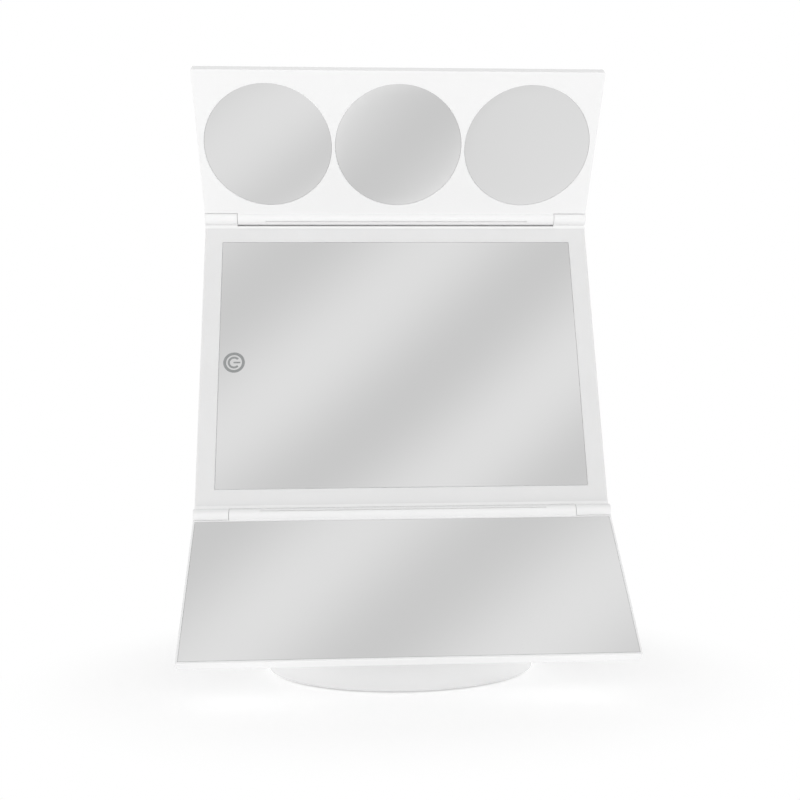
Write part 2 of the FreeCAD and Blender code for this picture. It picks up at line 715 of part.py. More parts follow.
def stem_parts():
    """Tube with a threaded shank through the base cover, its nut and washer, and a trim collar."""
    tube = new_body("stem_tube")
    turned(tube, [
        ("stem - stem_wall", "cover_under - stem_washer - stem_nut - shank_end"),
        ("shank", "cover_under - stem_washer - stem_nut - shank_end"),
        ("shank", "base_height"), ("stem", "base_height"),
        ("stem", "pivot_height - knuckle - neck"), ("stem - stem_wall", "pivot_height - knuckle - neck"),
    ])
    washer = new_body("stem_washer")
    turned(washer, [
        ("shank + press", "cover_under - stem_washer"), ("washer_radius", "cover_under - stem_washer"),
        ("washer_radius", "cover_under"), ("shank + press", "cover_under"),
    ])
    nut = new_body("stem_nut")
    pad(nut, "XY_Plane", "cover_under - stem_washer - stem_nut", "stem_nut",
        lambda sketch: hexagon(sketch, "nut_corner", "shank + press"))
    collar = new_body("stem_collar")
    turned(collar, [
        ("stem + press", "base_height"), ("collar", "base_height"),
        ("collar", "base_height + collar_height / 2"),
        ("stem + collar_lip", "base_height + collar_height"), ("stem + press", "base_height + collar_height"),
    ])
    return tube, washer, nut, collar


def hexagon(sketch, corner, hole):
    """A hexagon round the origin with its corners at the given radius, and a round hole."""
    corners = []
    for angle in range(0, 360, 60):
        across = FreeCAD.Rotation(Z_AXIS, angle).multVec(X_AXIS)
        corners.append((signed(f"{corner} * {across.x:.6f}"), signed(f"{corner} * {across.y:.6f}")))
    polygon(sketch, corners)
    circle(sketch, "0", "0", hole)


def stem_head():
    """Cross knuckle on top of the stem, plugged into the tube, bored for the tilt bolt."""
    body = new_body("stem_head", move(z=number("pivot_height")))
    pad(body, "YZ_Plane", "0", "2 * knuckle_half", lambda sketch: circle(sketch, "0", "0", "knuckle"),
        both=True)
    pad(body, "XY_Plane", "0 - knuckle - neck", "knuckle + neck",
        lambda sketch: circle(sketch, "0", "0", "stem"))
    pad(body, "XY_Plane", "0 - knuckle - neck", "2 * stem",
        lambda sketch: circle(sketch, "0", "0", "stem - stem_wall - press"), back=True)
    soften(body, "wall / 3", lambda edge: abs(abs(box_of(edge).XMax) - number("knuckle_half")) < TINY
           and box_of(edge).XLength < TINY)
    pocket(body, "YZ_Plane", "0", "2 * knuckle_half + wall",
           lambda sketch: circle(sketch, "0", "0", "tilt_bolt + pin_fit"), both=True)
    pocket(body, "XY_Plane", "0 - wire_drop", "2 * stem + knuckle",
           lambda sketch: circle(sketch, "0", "0", "stem_wire"))
    pocket(body, "XZ_Plane", "0", "2 * stem",
           lambda sketch: circle(sketch, "0", "0 - wire_drop", "stem_wire"), back=True)
    return body


def friction_washers():
    made = []
    for side in (-1, 1):
        start = number("knuckle_half") if side > 0 else -number("cheek_in")
        place = move(start, 0, number("pivot_height"), Y_AXIS, 90)
        disc = primitive("Part::Cylinder", "washer_disc", place, Radius="knuckle - washer_in",
                         Height="friction_washer")
        hole = primitive("Part::Cylinder", "washer_hole", place, Radius="tilt_bolt + pin_fit",
                         Height="friction_washer")
        made.append(cut("friction_washer", disc, hole))
    return group("friction_washers", made)


# ---- tilt bracket and turning hub, in a frame on the tilt axis with Z out of the mirror face ---

def tilt_bracket():
    """Round plate with a bore for the hub, a stop groove and two cheeks that grip the knuckle."""
    body = new_body("tilt_bracket", pivot_place())
    pad(body, "XY_Plane", "plate_back", "bracket_plate",
        lambda sketch: circle(sketch, "0", "0", "bracket_radius"))
    soften(body, "slide_washer * 2", at_level("plate_back"))
    for low, high in (("0 - cheek_out", "0 - cheek_in"), ("cheek_in", "cheek_out")):
        start = low if low.startswith("0") else "cheek_in"
        pad(body, "YZ_Plane", start, "cheek",
            lambda sketch: rectangle(sketch, "0 - knuckle", "knuckle", "0", "plate_back + bracket_plate / 6"))
        pad(body, "YZ_Plane", start, "cheek", lambda sketch: circle(sketch, "0", "0", "knuckle"))
        pocket(body, "YZ_Plane", start, "cheek",
               lambda sketch: circle(sketch, "0", "0", "tilt_bolt + press"), back=True)
    pocket(body, "XY_Plane", "plate_back", "bracket_plate",
           lambda sketch: circle(sketch, "0", "0", "hub_spigot + spigot_fit"), back=True)
    doc.recompute()
    before = body.Shape.Volume
    sketch = new_sketch(body, "XZ_Plane")
    rectangle(sketch, "stop_orbit - stop_lug - plate_fit", "stop_orbit + stop_lug + plate_fit",
              "plate_front - bracket_plate / 2", "plate_front + stop_lug / 2")
    groove = body.newObject("PartDesign::Groove", "stop_groove")
    groove.Profile = sketch
    groove.ReferenceAxis = (sketch, ["V_Axis"])
    groove.Midplane = True
    groove.setExpression("Angle", bound("turn_angle + 2 * stop_angle"))
    doc.recompute()
    if body.Shape.Volume > before - TINY:
        raise RuntimeError("the stop groove cuts nothing")
    return body


def pivot_place():
    """Frame on the tilt axis: Y up the panel, Z out of the mirror face."""
    return move(z=number("pivot_height"), angle=90 - number("lean_angle"))


def panel_place():
    """Frame at the centre of the mirror face."""
    return pivot_place().multiply(move(z=number("pivot_depth")))


def tilt_bolt():
    """Bolt through cheeks and knuckle, with a round slotted head; its nut is a node of its own."""
    body = new_body("tilt_bolt", pivot_place())
    pad(body, "YZ_Plane", "0 - cheek_out", "2 * cheek_out + cheek",
        lambda sketch: circle(sketch, "0", "0", "tilt_bolt"))
    pad(body, "YZ_Plane", "0 - cheek_out", "cheek / 2",
        lambda sketch: circle(sketch, "0", "0", "2 * tilt_bolt"), back=True)
    soften(body, "tilt_bolt / 3",
           lambda edge: abs(box_of(edge).XMin + number("cheek_out + cheek / 2")) < TINY
           and box_of(edge).XLength < TINY)
    pocket(body, "YZ_Plane", "0 - cheek_out - cheek / 2", "cheek / 4",
           lambda sketch: rectangle(sketch, "0 - 2 * tilt_bolt", "2 * tilt_bolt",
                                    "0 - tilt_bolt / 5", "tilt_bolt / 5"), back=True)
    nut = new_body("tilt_nut", pivot_place())
    pad(nut, "YZ_Plane", "cheek_out", "tilt_nut",
        lambda sketch: hexagon(sketch, "2 * tilt_bolt", "tilt_bolt + press"))
    return body, nut


def slide_washer():
    """Plastic ring between the bracket's plate and the hub's flange."""
    body = new_body("slide_washer", pivot_place())
    turned(body, [
        ("hub_spigot + washer_fit", "plate_front"),
        ("stop_orbit - stop_lug - 2 * washer_fit", "plate_front"),
        ("stop_orbit - stop_lug - 2 * washer_fit", "plate_front + slide_washer"),
        ("hub_spigot + washer_fit", "plate_front + slide_washer"),
    ])
    return body


RETAINER_ANGLES = (90, 210, 330)
HUB_SCREW_ANGLES = (0, 90, 180, 270)


def turn_hub():
    """Flange under the rear cover, a spigot through the bracket and a lug for the quarter turn."""
    body = new_body("turn_hub", pivot_place())
    turned(body, [
        ("wire_bore", "plate_back - end_play"), ("hub_spigot", "plate_back - end_play"),
        ("hub_spigot", "plate_front + slide_washer"),
        ("hub_flange_radius", "plate_front + slide_washer"),
        ("hub_flange_radius", "plate_front + slide_washer + hub_flange"),
        ("wire_bore", "plate_front + slide_washer + hub_flange"),
    ])
    lug = FreeCAD.Rotation(Z_AXIS, -number("turn_angle") / 2).multVec(X_AXIS)
    at = (signed(f"stop_orbit * {lug.x:.6f}"), signed(f"stop_orbit * {lug.y:.6f}"))
    pad(body, "XY_Plane", "plate_front + slide_washer", "slide_washer + bracket_plate / 3",
        lambda sketch: circle(sketch, *at, "stop_lug"), back=True)
    for centre in spots("hub_screw_orbit", RETAINER_ANGLES):
        pocket(body, "XY_Plane", "plate_back - end_play", "hub_thread + thread_spare",
               lambda sketch, at=centre: circle(sketch, *at, "screw + press"), back=True)
    for centre in spots("hub_case_orbit", HUB_SCREW_ANGLES):
        pocket(body, "XY_Plane", "plate_front + slide_washer", "hub_flange",
               lambda sketch, at=centre: circle(sketch, *at, "screw + press"), back=True)
    return body


def retainer():
    """Plate that holds the hub in the bracket, with its three screws."""
    plate = new_body("hub_retainer", pivot_place())
    turned(plate, [
        ("wire_bore", "plate_back - end_play - retainer"),
        ("retainer_radius", "plate_back - end_play - retainer"),
        ("retainer_radius", "plate_back - end_play"), ("wire_bore", "plate_back - end_play"),
    ])
    made = []
    for centre in spots("hub_screw_orbit", RETAINER_ANGLES):
        pocket(plate, "XY_Plane", "plate_back - end_play - retainer", "retainer",
               lambda sketch, at=centre: circle(sketch, *at, "screw + press"), back=True)
        seat = move(number(centre[0]), number(centre[1]), number("plate_back - end_play - retainer"))
        made.append(screw_at("retainer_screw", pivot_place().multiply(seat), "retainer + hub_thread"))
    return plate, group("retainer_screws", made)


# ---- centre panel, in a frame at the centre of the mirror face, Z out of the face ---------------

def frame_rectangle(sketch, x, y):
    rectangle(sketch, signed_sum(-1, x), x, signed_sum(-1, y), y)


def centre_frame():
    """Structural ring: rails, light channel, glass ledge, gussets, hinge ears and barrel troughs."""
    body = new_body("centre_frame", panel_place())
    pad(body, "XY_Plane", "0 - frame_depth", "frame_depth - glass",
        lambda sketch: frame_rectangle(sketch, "half_width", "half_height"))
    for low, high in (("border_half + press", "half_height"),
                      ("0 - half_height", "0 - border_half - press")):
        pad(body, "XY_Plane", "0 - glass", "glass",
            lambda sketch, ends=(low, high): rectangle(sketch, "0 - half_width", "half_width", *ends))
    outer = number("half_height")
    soften(body, "rail_soft", lambda edge: at_level("0")(edge) and abs(edge.CenterOfMass.y) > outer - TINY)
    pocket(body, "XY_Plane", "0 - frame_depth", "frame_depth", opening_outline, back=True)
    pocket(body, "XY_Plane", "0 - frame_depth + channel_floor", "frame_depth - glass", channel_outline,
           back=True)
    for side in (-1, 1):
        for end in (-1, 1):
            hinge_ear(body, side, end)
    for ends in (("half_height - rail / 2", "hinge_up"), ("0 - hinge_up", "0 - half_height + rail / 2")):
        pad(body, "XY_Plane", "0 - frame_depth", "frame_depth + hinge_rise - barrel - barrel_gap",
            lambda sketch, ends=ends: rectangle(sketch, "0 - ear_in", "ear_in", *ends))
    for x, y in corner_signs("case_screw_x", "case_screw_y"):
        pocket(body, "XY_Plane", "0 - frame_depth", "frame_depth - glass - thread_skin",
               lambda sketch, at=(x, y): circle(sketch, *at, "screw + press"), back=True)
    return body


def opening_outline(sketch):
    """Opening behind the mirror, with its corners cut off for the gussets."""
    corners = []
    for side_x, side_y in ((1, 1), (-1, 1), (-1, -1), (1, -1)):
        along = [(side_x, "opening_x"), (side_y, "opening_y - gusset")]
        across = [(side_x, "opening_x - gusset"), (side_y, "opening_y")]
        pair = [tuple(signed_sum(*item) for item in along), tuple(signed_sum(*item) for item in across)]
        corners += pair if side_x * side_y > 0 else pair[::-1]
    polygon(sketch, corners)


def signed_sum(side, text):
    """The text, or its opposite: 'a - b' becomes '0 - a + b'."""
    if side > 0:
        return text
    return "0 - " + text.replace("-", "#").replace("+", "-").replace("#", "+")


def corner_signs(x, y):
    return [(signed_sum(side_x, x), signed_sum(side_y, y)) for side_x in (-1, 1) for side_y in (-1, 1)]


def channel_outline(sketch):
    frame_rectangle(sketch, "channel_out_x", "channel_out_y")
    frame_rectangle(sketch, "channel_in_x", "channel_in_y")


def hinge_ear(body, side, end):
    """Knuckle on a gusset under the rail's end, bored through for the hinge pin, with a stop ledge."""
    start = "ear_in" if side > 0 else "0 - half_width"

    def at(text):
        return signed_sum(end, text)

    pad(body, "YZ_Plane", start, "ear_width",
        lambda sketch: circle(sketch, at("hinge_up"), "hinge_rise", "barrel"))
    pad(body, "YZ_Plane", start, "ear_width",
        lambda sketch: polygon(sketch, [
            (at("half_height - rail / 2"), "0 - frame_depth"),
            (at("hinge_up + stop_out"), "0 - frame_depth + wall"),
            (at("hinge_up + stop_out"), "hinge_rise - stop_down"),
            (at("hinge_up + barrel / 2"), "hinge_rise - stop_down"),
            (at("hinge_up + barrel / 2"), "0"), (at("half_height - rail / 2"), "0"),
        ]))
    pocket(body, "YZ_Plane", start, "ear_width",
           lambda sketch: circle(sketch, at("hinge_up"), "hinge_rise", "pin + press"), back=True)


def hinge_pins():
    """Four steel pins, one through each ear into the end of a barrel."""
    made = []
    length = "ear_width + ear_gap + pin_reach - pin_recess"
    for end in (1, -1):
        for start in ("barrel_half - pin_reach", "0 - half_width + pin_recess"):
            x = number(start)
            seat = move(x, end * number("hinge_up"), number("hinge_rise"), Y_AXIS, 90)
            made.append(primitive("Part::Cylinder", "hinge_pin", panel_place().multiply(seat),
                                  Radius="pin", Height=length))
    return group("hinge_pins", made)


def light_border():
    """Frosted plate round the mirror, lit from the channel behind it."""
    body = new_body("light_border", panel_place())
    pad(body, "XY_Plane", "0 - glass", "glass",
        lambda sketch: frame_rectangle(sketch, "half_width - press", "border_half"))
    pocket(body, "XY_Plane", "0", "glass",
           lambda sketch: frame_rectangle(sketch, "mirror_x + glass_fit", "mirror_y + glass_fit"))
    side = number("half_width - press")
    soften(body, "border_soft",
           lambda edge: at_level("0")(edge) and abs(abs(edge.CenterOfMass.x) - side) < TINY)
    return body


def centre_mirror():
    """Silvered glass with a ground edge."""
    body = new_body("centre_mirror", panel_place())
    pad(body, "XY_Plane", "0 - glass", "glass",
        lambda sketch: frame_rectangle(sketch, "mirror_x", "mirror_y"))
    soften(body, "glass_fit", at_level("0"), "PartDesign::Chamfer")
    return body


def rear_cover():
    """Tray behind the frame: rounded back, screw posts, board posts, hub seat and wire hole."""
    body = new_body("rear_cover", panel_place())
    pad(body, "XY_Plane", "0 - head_depth", "head_depth - frame_depth",
        lambda sketch: frame_rectangle(sketch, "half_width", "half_height"))
    soften(body, "back_round", at_level("0 - head_depth"))
    soften(body, "corner", upright)
    pocket(body, "XY_Plane", "0 - head_depth + wall", "head_depth - frame_depth",
           lambda sketch: frame_rectangle(sketch, "half_width - side_wall", "half_height - side_wall"),
           back=True)
    for x, y in corner_signs("case_screw_x", "case_screw_y"):
        pad(body, "XY_Plane", "0 - head_depth + wall / 2", "head_depth - frame_depth - wall / 2",
            lambda sketch, at=(x, y): circle(sketch, *at, "post"))
        pocket(body, "XY_Plane", "0 - head_depth", "head_depth",
               lambda sketch, at=(x, y): circle(sketch, *at, "screw + glass_fit"), back=True)
        pocket(body, "XY_Plane", "0 - head_depth", "head_depth - frame_depth - wall",
               lambda sketch, at=(x, y): circle(sketch, *at, "screw_head + plate_fit"), back=True)
    for x, y in board_spots():
        pad(body, "XY_Plane", "0 - head_depth + wall / 2", "board_post + wall / 2",
            lambda sketch, at=(x, y): circle(sketch, *at, "boss / 2"))
    pocket(body, "XY_Plane", "0 - head_depth", "wall",
           lambda sketch: circle(sketch, "0", "0", "wire_bore"), back=True)
    for centre in spots("hub_case_orbit", HUB_SCREW_ANGLES):
        pocket(body, "XY_Plane", "0 - head_depth", "wall",
               lambda sketch, at=centre: circle(sketch, *at, "screw + press"), back=True)
    return body


def board_spots():
    """Posts under the driver board's corners."""
    across = ("board_x + board_hole", "board_x + board_long - board_hole")
    along = ("board_y + board_hole", "board_y + board_wide - board_hole")
    return [(x, y) for x in across for y in along]


def case_screws():
    """Screws through the rear cover's posts into the frame's gussets."""
    made = []
    for x, y in corner_signs("case_screw_x", "case_screw_y"):
        seat = move(number(x), number(y), number("0 - frame_depth - wall"))
        made.append(screw_at("case_screw", panel_place().multiply(seat),
                             "wall + frame_depth - glass - thread_skin - thread_spare"))
    return group("case_screws", made)


def hub_screws():
    """Screws from inside the rear cover into the hub's flange."""
    made = []
    for centre in spots("hub_case_orbit", HUB_SCREW_ANGLES):
        seat = move(number(centre[0]), number(centre[1]), number("0 - head_depth + wall"), X_AXIS, 180)
        made.append(screw_at("hub_screw", panel_place().multiply(seat), "wall + hub_flange - thread_spare"))
    return group("hub_screws", made)


def light_strip(label, vertical, side):
    """A board in the channel behind the border with a row of lights."""
    body = new_body(label, panel_place())
    along = "mirror_y" if vertical else "mirror_x"
    middle = "channel_out_x / 2 + channel_in_x / 2" if vertical else "channel_out_y / 2 + channel_in_y / 2"
    centre = signed_sum(side, middle)
    lift = "0 - frame_depth + channel_floor"

    def board(sketch):
        across = (centre + " - strip_width / 2", centre + " + strip_width / 2")
        ends = ("0 - " + along, along)
        rectangle(sketch, *(across + ends if vertical else ends + across))
    pad(body, "XY_Plane", lift, "strip", board)
    count = int(2 * number(along) / number("led_pitch"))
    first = f"0 - led_pitch * {(count - 1) / 2}"

    def light(sketch):
        across = (centre + " - led_wide / 2", centre + " + led_wide / 2")
        ends = (first + " - led_long / 2", first + " + led_long / 2")
        rectangle(sketch, *(across + ends if vertical else ends + across))
    lamp = pad(body, "XY_Plane", lift + " + strip", "strip", light)
    row(body, lamp, "V_Axis" if vertical else "H_Axis", "led_pitch", count)
    return body


def driver_board():
    """Board on the rear cover's posts with a coil, a chip and a plug."""
    body = new_body("driver_board", panel_place())
    lift = "0 - head_depth + wall + board_post"
    pad(body, "XY_Plane", lift, "board",
        lambda sketch: rectangle(sketch, "board_x", "board_x + board_long",
                                 "board_y", "board_y + board_wide"))
    pad(body, "XY_Plane", lift + " + board", "board",
        lambda sketch: circle(sketch, "board_x + board_long / 4", "board_y + board_wide / 2", "boss"))
    pad(body, "XY_Plane", lift + " + board", "board / 2",
        lambda sketch: rectangle(sketch, "board_x + board_long / 2", "board_x + board_long * 0.68",
                                 "board_y + board_wide / 3", "board_y + board_wide * 0.6"))
    pad(body, "XY_Plane", lift + " + board", "board",
        lambda sketch: rectangle(sketch, "board_x + board_long * 0.76", "board_x + board_long * 0.87",
                                 "board_y + board_wide / 4", "board_y + board_wide * 0.7"))
    return body


def touch_sensor():
    """Sensor board on the back of the mirror, behind the touch key's mark."""
    body = new_body("touch_sensor", panel_place())
    pad(body, "XY_Plane", "0 - glass - board", "board",
        lambda sketch: circle(sketch, "0 - mirror_x + touch_in", "0", "touch_radius"))
    return body


# ---- wings, in a frame on the hinge axis: Y to the free edge, Z out of the mirror face ----------

def upper_place():
    hinge = move(0, number("hinge_up"), number("hinge_rise"), X_AXIS, 180 - number("upper_angle"))
    return panel_place().multiply(hinge)


def lower_place():
    half_turn = move(0, -number("hinge_up"), number("hinge_rise"), Z_AXIS, 180)
    return panel_place().multiply(half_turn).multiply(move(angle=180 - number("lower_angle")))


def free_corner(edge):
    """True for the upright edges at a wing's two outer corners."""
    return upright(edge) and abs(box_of(edge).YMax - number("wing_reach")) < TINY


def front_edge(edge):
    """True for the edges round a wing's front face, but for the one at the hinge."""
    return at_level("face_rise")(edge) and edge.CenterOfMass.y > number("body_start") + TINY


def wing_shell(label, place, front):
    """Back shell of a wing with its hinge barrel; front is the height of its front rim."""
    body = new_body(label, place)
    pad(body, "XY_Plane", "0 - wing_back", front + " + wing_back",
        lambda sketch: rectangle(sketch, "0 - half_width", "half_width", "body_start", "wing_reach"))
    soften(body, "wing_round", at_level("0 - wing_back"))
    soften(body, "corner", free_corner)
    if front == "face_rise":
        soften(body, "rail_soft", front_edge)
    pad(body, "YZ_Plane", "0", "2 * barrel_half",
        lambda sketch: circle(sketch, "0", "0", "barrel"), both=True)
    step = [] if front == "face_rise" else [("body_start", front), ("body_start", "face_rise")]
    corners = [("0", "0 - barrel"), ("glass_start", "0 - wing_back + wing_round"), ("glass_start", front)]
    pad(body, "YZ_Plane", "0", "2 * barrel_half",
        lambda sketch: polygon(sketch, corners + step + [("0", "face_rise")]), both=True)
    for side in ("barrel_half", "0 - barrel_half"):
        pocket(body, "YZ_Plane", side, "pin_reach + bore_spare",
               lambda sketch: circle(sketch, "0", "0", "sleeve + press"), back=side != "barrel_half")
    pocket(body, "XY_Plane", "barrel - groove_depth", "2 * groove_depth",
           lambda sketch: rectangle(sketch, "0 - groove_length / 2", "groove_length / 2",
                                    "0 - groove_width / 2", "groove_width / 2"), back=True)
    return body


def friction_sleeves(label, place):
    """Split sleeves pressed into a barrel's ends, which grip the hinge pins."""
    made = []
    for start in ("barrel_half - pin_reach", "0 - barrel_half + pin_reach - sleeve_length"):
        x = number(start)
        seat = place.multiply(move(x, 0, 0, Y_AXIS, 90))
        outer = primitive("Part::Cylinder", "sleeve_outer", seat, Radius="sleeve", Height="sleeve_length")
        bore = primitive("Part::Cylinder", "sleeve_bore", seat, Radius="pin + pin_fit",
                         Height="sleeve_length")
        slit = primitive("Part::Box", "sleeve_slit", place.multiply(move(x, -number("sleeve_slit") / 2)),
                         Length="sleeve_length", Width="sleeve_slit", Height="2 * sleeve")
        made.append(cut("friction_sleeve", cut("sleeve_tube", outer, bore), slit))
    return group(label, made)


def lower_wing():
    """Shell with a ribbed tray for one plain mirror."""
    shell = wing_shell("lower_wing_shell", lower_place(), "face_rise")
    pocket(shell, "XY_Plane", "face_rise", "glass",
           lambda sketch: rectangle(sketch, "0 - wing_glass_x - press", "wing_glass_x + press",
                                    "glass_start - press", "wing_glass_end + press"))
    for place in range(4):
        left = f"0 - wing_glass_x + ledge + tray_pitch * {place}"
        pocket(shell, "XY_Plane", "face_rise - glass", "wing_thick - glass - wing_floor",
               lambda sketch, start=left: rectangle(sketch, start, start + " + tray_pitch - rib",
                                                    "glass_start + ledge", "wing_glass_end - ledge"))
    glass = new_body("lower_mirror", lower_place())
    pad(glass, "XY_Plane", "face_rise - glass", "glass",
        lambda sketch: rectangle(sketch, "0 - wing_glass_x", "wing_glass_x",
                                 "glass_start", "wing_glass_end"))
    soften(glass, "glass_fit", at_level("face_rise"), "PartDesign::Chamfer")
    return shell, glass, friction_sleeves("lower_friction_sleeves", lower_place())


def upper_wing():
    """Shell, a bezel with three round openings, and a concave magnifying mirror in each."""
    shell = wing_shell("upper_wing_shell", upper_place(), "face_rise - bezel")
    pocket(shell, "XY_Plane", "face_rise - bezel", "wing_thick - bezel - wing_floor",
           lambda sketch: rectangle(sketch, "0 - half_width + wall", "half_width - wall",
                                    "body_start + wall", "wing_reach - wall"))
    for place in (-1, 0, 1):
        pad(shell, "XY_Plane", "0 - wing_back + wing_floor / 2", "seat_height",
            lambda sketch, at=round_centre(place): ring_outline(sketch, at, "round", "round - rib"))
    bezel = new_body("upper_wing_bezel", upper_place())
    pad(bezel, "XY_Plane", "face_rise - bezel", "bezel",
        lambda sketch: rectangle(sketch, "0 - half_width", "half_width", "body_start", "wing_reach"))
    soften(bezel, "corner", free_corner)
    soften(bezel, "rail_soft", front_edge)
    for place in (-1, 0, 1):
        pocket(bezel, "XY_Plane", "face_rise", "bezel",
               lambda sketch, at=round_centre(place): circle(sketch, *at, "round + glass_fit"))
    magnifier("magnifier_left", -1, "curve_low")
    magnifier("magnifier_middle", 0, "curve_middle")
    magnifier("magnifier_right", 1, "curve_high")
    return shell, bezel, friction_sleeves("upper_friction_sleeves", upper_place())


def round_centre(place):
    return (signed(f"round_pitch * {place}"), "round_up")


def magnifier(label, place, curve):
    """Slumped glass disc: two concentric spheres of the given radius, cut to the disc's radius."""
    radius = number("round")
    hollow = number(curve)
    depth = hollow - (hollow ** 2 - radius ** 2) ** 0.5
    edge_up = number("face_rise - round_sink")
    seat = upper_place().multiply(move(number("round_pitch") * place, number("round_up"), edge_up))
    ball = seat.multiply(move(z=hollow - depth, angle=90))
    outer = primitive("Part::Sphere", label + "_back", ball, Radius=curve + " + round_glass")
    inner = primitive("Part::Sphere", label + "_front", ball, Radius=curve)
    rim = primitive("Part::Cylinder", label + "_rim", seat.multiply(move(z=-number("wing_thick"))),
                    Radius="round", Height="wing_thick")
    made = both_of(label, cut(label + "_skin", outer, inner), rim)
    made.Label = label
    NODES.append(made)
    return made


# ---- build and write --------------------------------------------------------------------------

def build():
    fill_sheet()
    base_cover()
    base_plate()
    base_feet()
    battery_door()
    for place in range(4):
        aa_cell(place)
    group("leaf_contacts", [contact_at(place, True) for place in range(4)])
    group("sheet_contacts", [contact_at(place, False) for place in range(4)])
    ballast_plate()
    base_screws()
    door_screw()
    supply_inlet()
    stem_parts()
    stem_head()
    friction_washers()
    tilt_bracket()
    tilt_bolt()
    slide_washer()
    turn_hub()
    retainer()
    hub_screws()
    centre_frame()
    rear_cover()
    case_screws()
    light_border()
    centre_mirror()
    light_strip("light_strip_left", True, -1)
    light_strip("light_strip_right", True, 1)
    light_strip("light_strip_top", False, 1)
    light_strip("light_strip_bottom", False, -1)
    driver_board()
    touch_sensor()
    hinge_pins()
    lower_wing()
    upper_wing()
    doc.recompute()


def write():
    """Checks every object and node, then writes one STEP file for each node."""
    for item in doc.Objects:
        if "Invalid" in item.State or "Error" in item.State:
            raise RuntimeError(f"{item.Name} failed: {item.State}")
    for node in NODES:
        if node.Shape.isNull() or not node.Shape.isValid():
            raise RuntimeError(f"{node.Label} has no valid shape")
    os.makedirs("parts", exist_ok=True)
    for node in NODES:
        node.Shape.exportStep(f"parts/{node.Label}.step")


build()
write()
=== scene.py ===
import json
import math

import bmesh
import bpy
from mathutils import Matrix, Vector


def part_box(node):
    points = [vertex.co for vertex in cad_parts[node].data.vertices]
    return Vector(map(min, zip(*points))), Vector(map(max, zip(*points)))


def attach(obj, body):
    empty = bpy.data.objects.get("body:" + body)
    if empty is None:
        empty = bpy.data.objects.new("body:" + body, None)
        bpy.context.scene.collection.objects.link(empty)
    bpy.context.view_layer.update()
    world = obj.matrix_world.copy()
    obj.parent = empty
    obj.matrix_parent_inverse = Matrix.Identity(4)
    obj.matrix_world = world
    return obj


# Finishes, touch mark and studio for a folding vanity mirror: a lit centre panel with a touch key
# and two hinged wings, on a round weighted base. Metres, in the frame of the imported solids.

bl_info = {
    "name": "Folding Vanity Mirror",
    "version": (1, 0, 0),
    "blender": (4, 5, 0),
    "location": "3D View > Sidebar > Vanity Mirror",
    "description": "Dresses a folding vanity mirror and sets it in a plain studio",
    "category": "Object",
}

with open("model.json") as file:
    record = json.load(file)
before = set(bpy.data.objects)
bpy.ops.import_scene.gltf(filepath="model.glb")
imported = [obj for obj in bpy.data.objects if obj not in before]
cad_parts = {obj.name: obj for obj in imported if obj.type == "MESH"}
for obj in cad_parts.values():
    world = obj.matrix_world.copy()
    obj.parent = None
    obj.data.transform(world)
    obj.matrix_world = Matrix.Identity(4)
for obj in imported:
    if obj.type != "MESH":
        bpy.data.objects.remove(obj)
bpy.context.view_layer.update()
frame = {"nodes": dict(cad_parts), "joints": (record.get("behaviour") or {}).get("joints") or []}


# ---- the object's own directions and places -----------------------------------------------------

def joint_named(name):
    """One joint of the frame."""
    return next(joint for joint in frame["joints"] if joint["name"] == name)


ACROSS = Vector((1, 0, 0))
PANEL_OUT = Vector(joint_named("turn")["axis"]).normalized()
PANEL_UP = PANEL_OUT.cross(ACROSS)
PANEL_PIVOT = Vector(joint_named("turn")["pos_m"])
BASE_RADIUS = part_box("base_cover")[1][0]


def facing(node):
    """Which way a mirror looks: the mean normal of its faces that look to the panel's front."""
    total = Vector()
    for face in frame["nodes"][node].data.polygons:
        if face.normal.dot(PANEL_OUT) > 0:
            total += face.normal * face.area
    return total.normalized()


def reach(node):
    """How far a node stands out to the panel's front from the point that the panel turns about."""
    corners = frame["nodes"][node].data.vertices
    return max((corner.co - PANEL_PIVOT).dot(PANEL_OUT) for corner in corners)


# ---- shader helpers -----------------------------------------------------------------------------

# Nearly all values of a noise lie between these two.
NOISE_LOW = 0.3
NOISE_HIGH = 0.7


def add(tree, kind, inputs=None, **settings):
    """Adds a shader node. Inputs given as sockets are linked and the others are set."""
    made = tree.nodes.new("ShaderNode" + kind)
    for key, value in settings.items():
        setattr(made, key, value)
    for key, value in (inputs or {}).items():
        if isinstance(value, bpy.types.NodeSocket):
            tree.links.new(value, made.inputs[key])
        else:
            made.inputs[key].default_value = value
    return made


def maths(tree, operation, first, second=0.0, third=0.0):
    """One sum, product or the like of up to three values."""
    return add(tree, "Math", {0: first, 1: second, 2: third}, operation=operation).outputs[0]


def weighted(tree, plain, *parts):
    """A plain value plus masks, each times its own weight."""
    total = plain
    for mask, weight in parts:
        total = maths(tree, "MULTIPLY_ADD", mask, weight, total)
    return total


def remap(tree, value, low, high, to_low, to_high, smooth=True):
    """A value carried from one span to another, held at the ends."""
    return add(tree, "MapRange", {"Value": value, "From Min": low, "From Max": high, "To Min": to_low,
                                  "To Max": to_high},
               interpolation_type="SMOOTHSTEP" if smooth else "LINEAR").outputs["Result"]


def mixed(tree, factor, first, second, kind="MIX"):
    """Two colours mixed by a factor. The numbers are the colour sockets of the Mix node."""
    return add(tree, "Mix", {0: factor, 6: first, 7: second}, data_type="RGBA",
               blend_type=kind).outputs[2]


def between(tree, factor, first, second):
    """Two values mixed by a factor."""
    return add(tree, "Mix", {0: factor, 2: first, 3: second}).outputs[0]


def noise(tree, place, scale, detail, distortion=0.0):
    """A noise over a place, as one value."""
    return add(tree, "TexNoise", {"Vector": place, "Scale": scale, "Detail": detail,
                                  "Distortion": distortion}).outputs[0]


def place_of(tree):
    """Coordinates fixed to the piece."""
    return add(tree, "TexCoord").outputs["Object"]


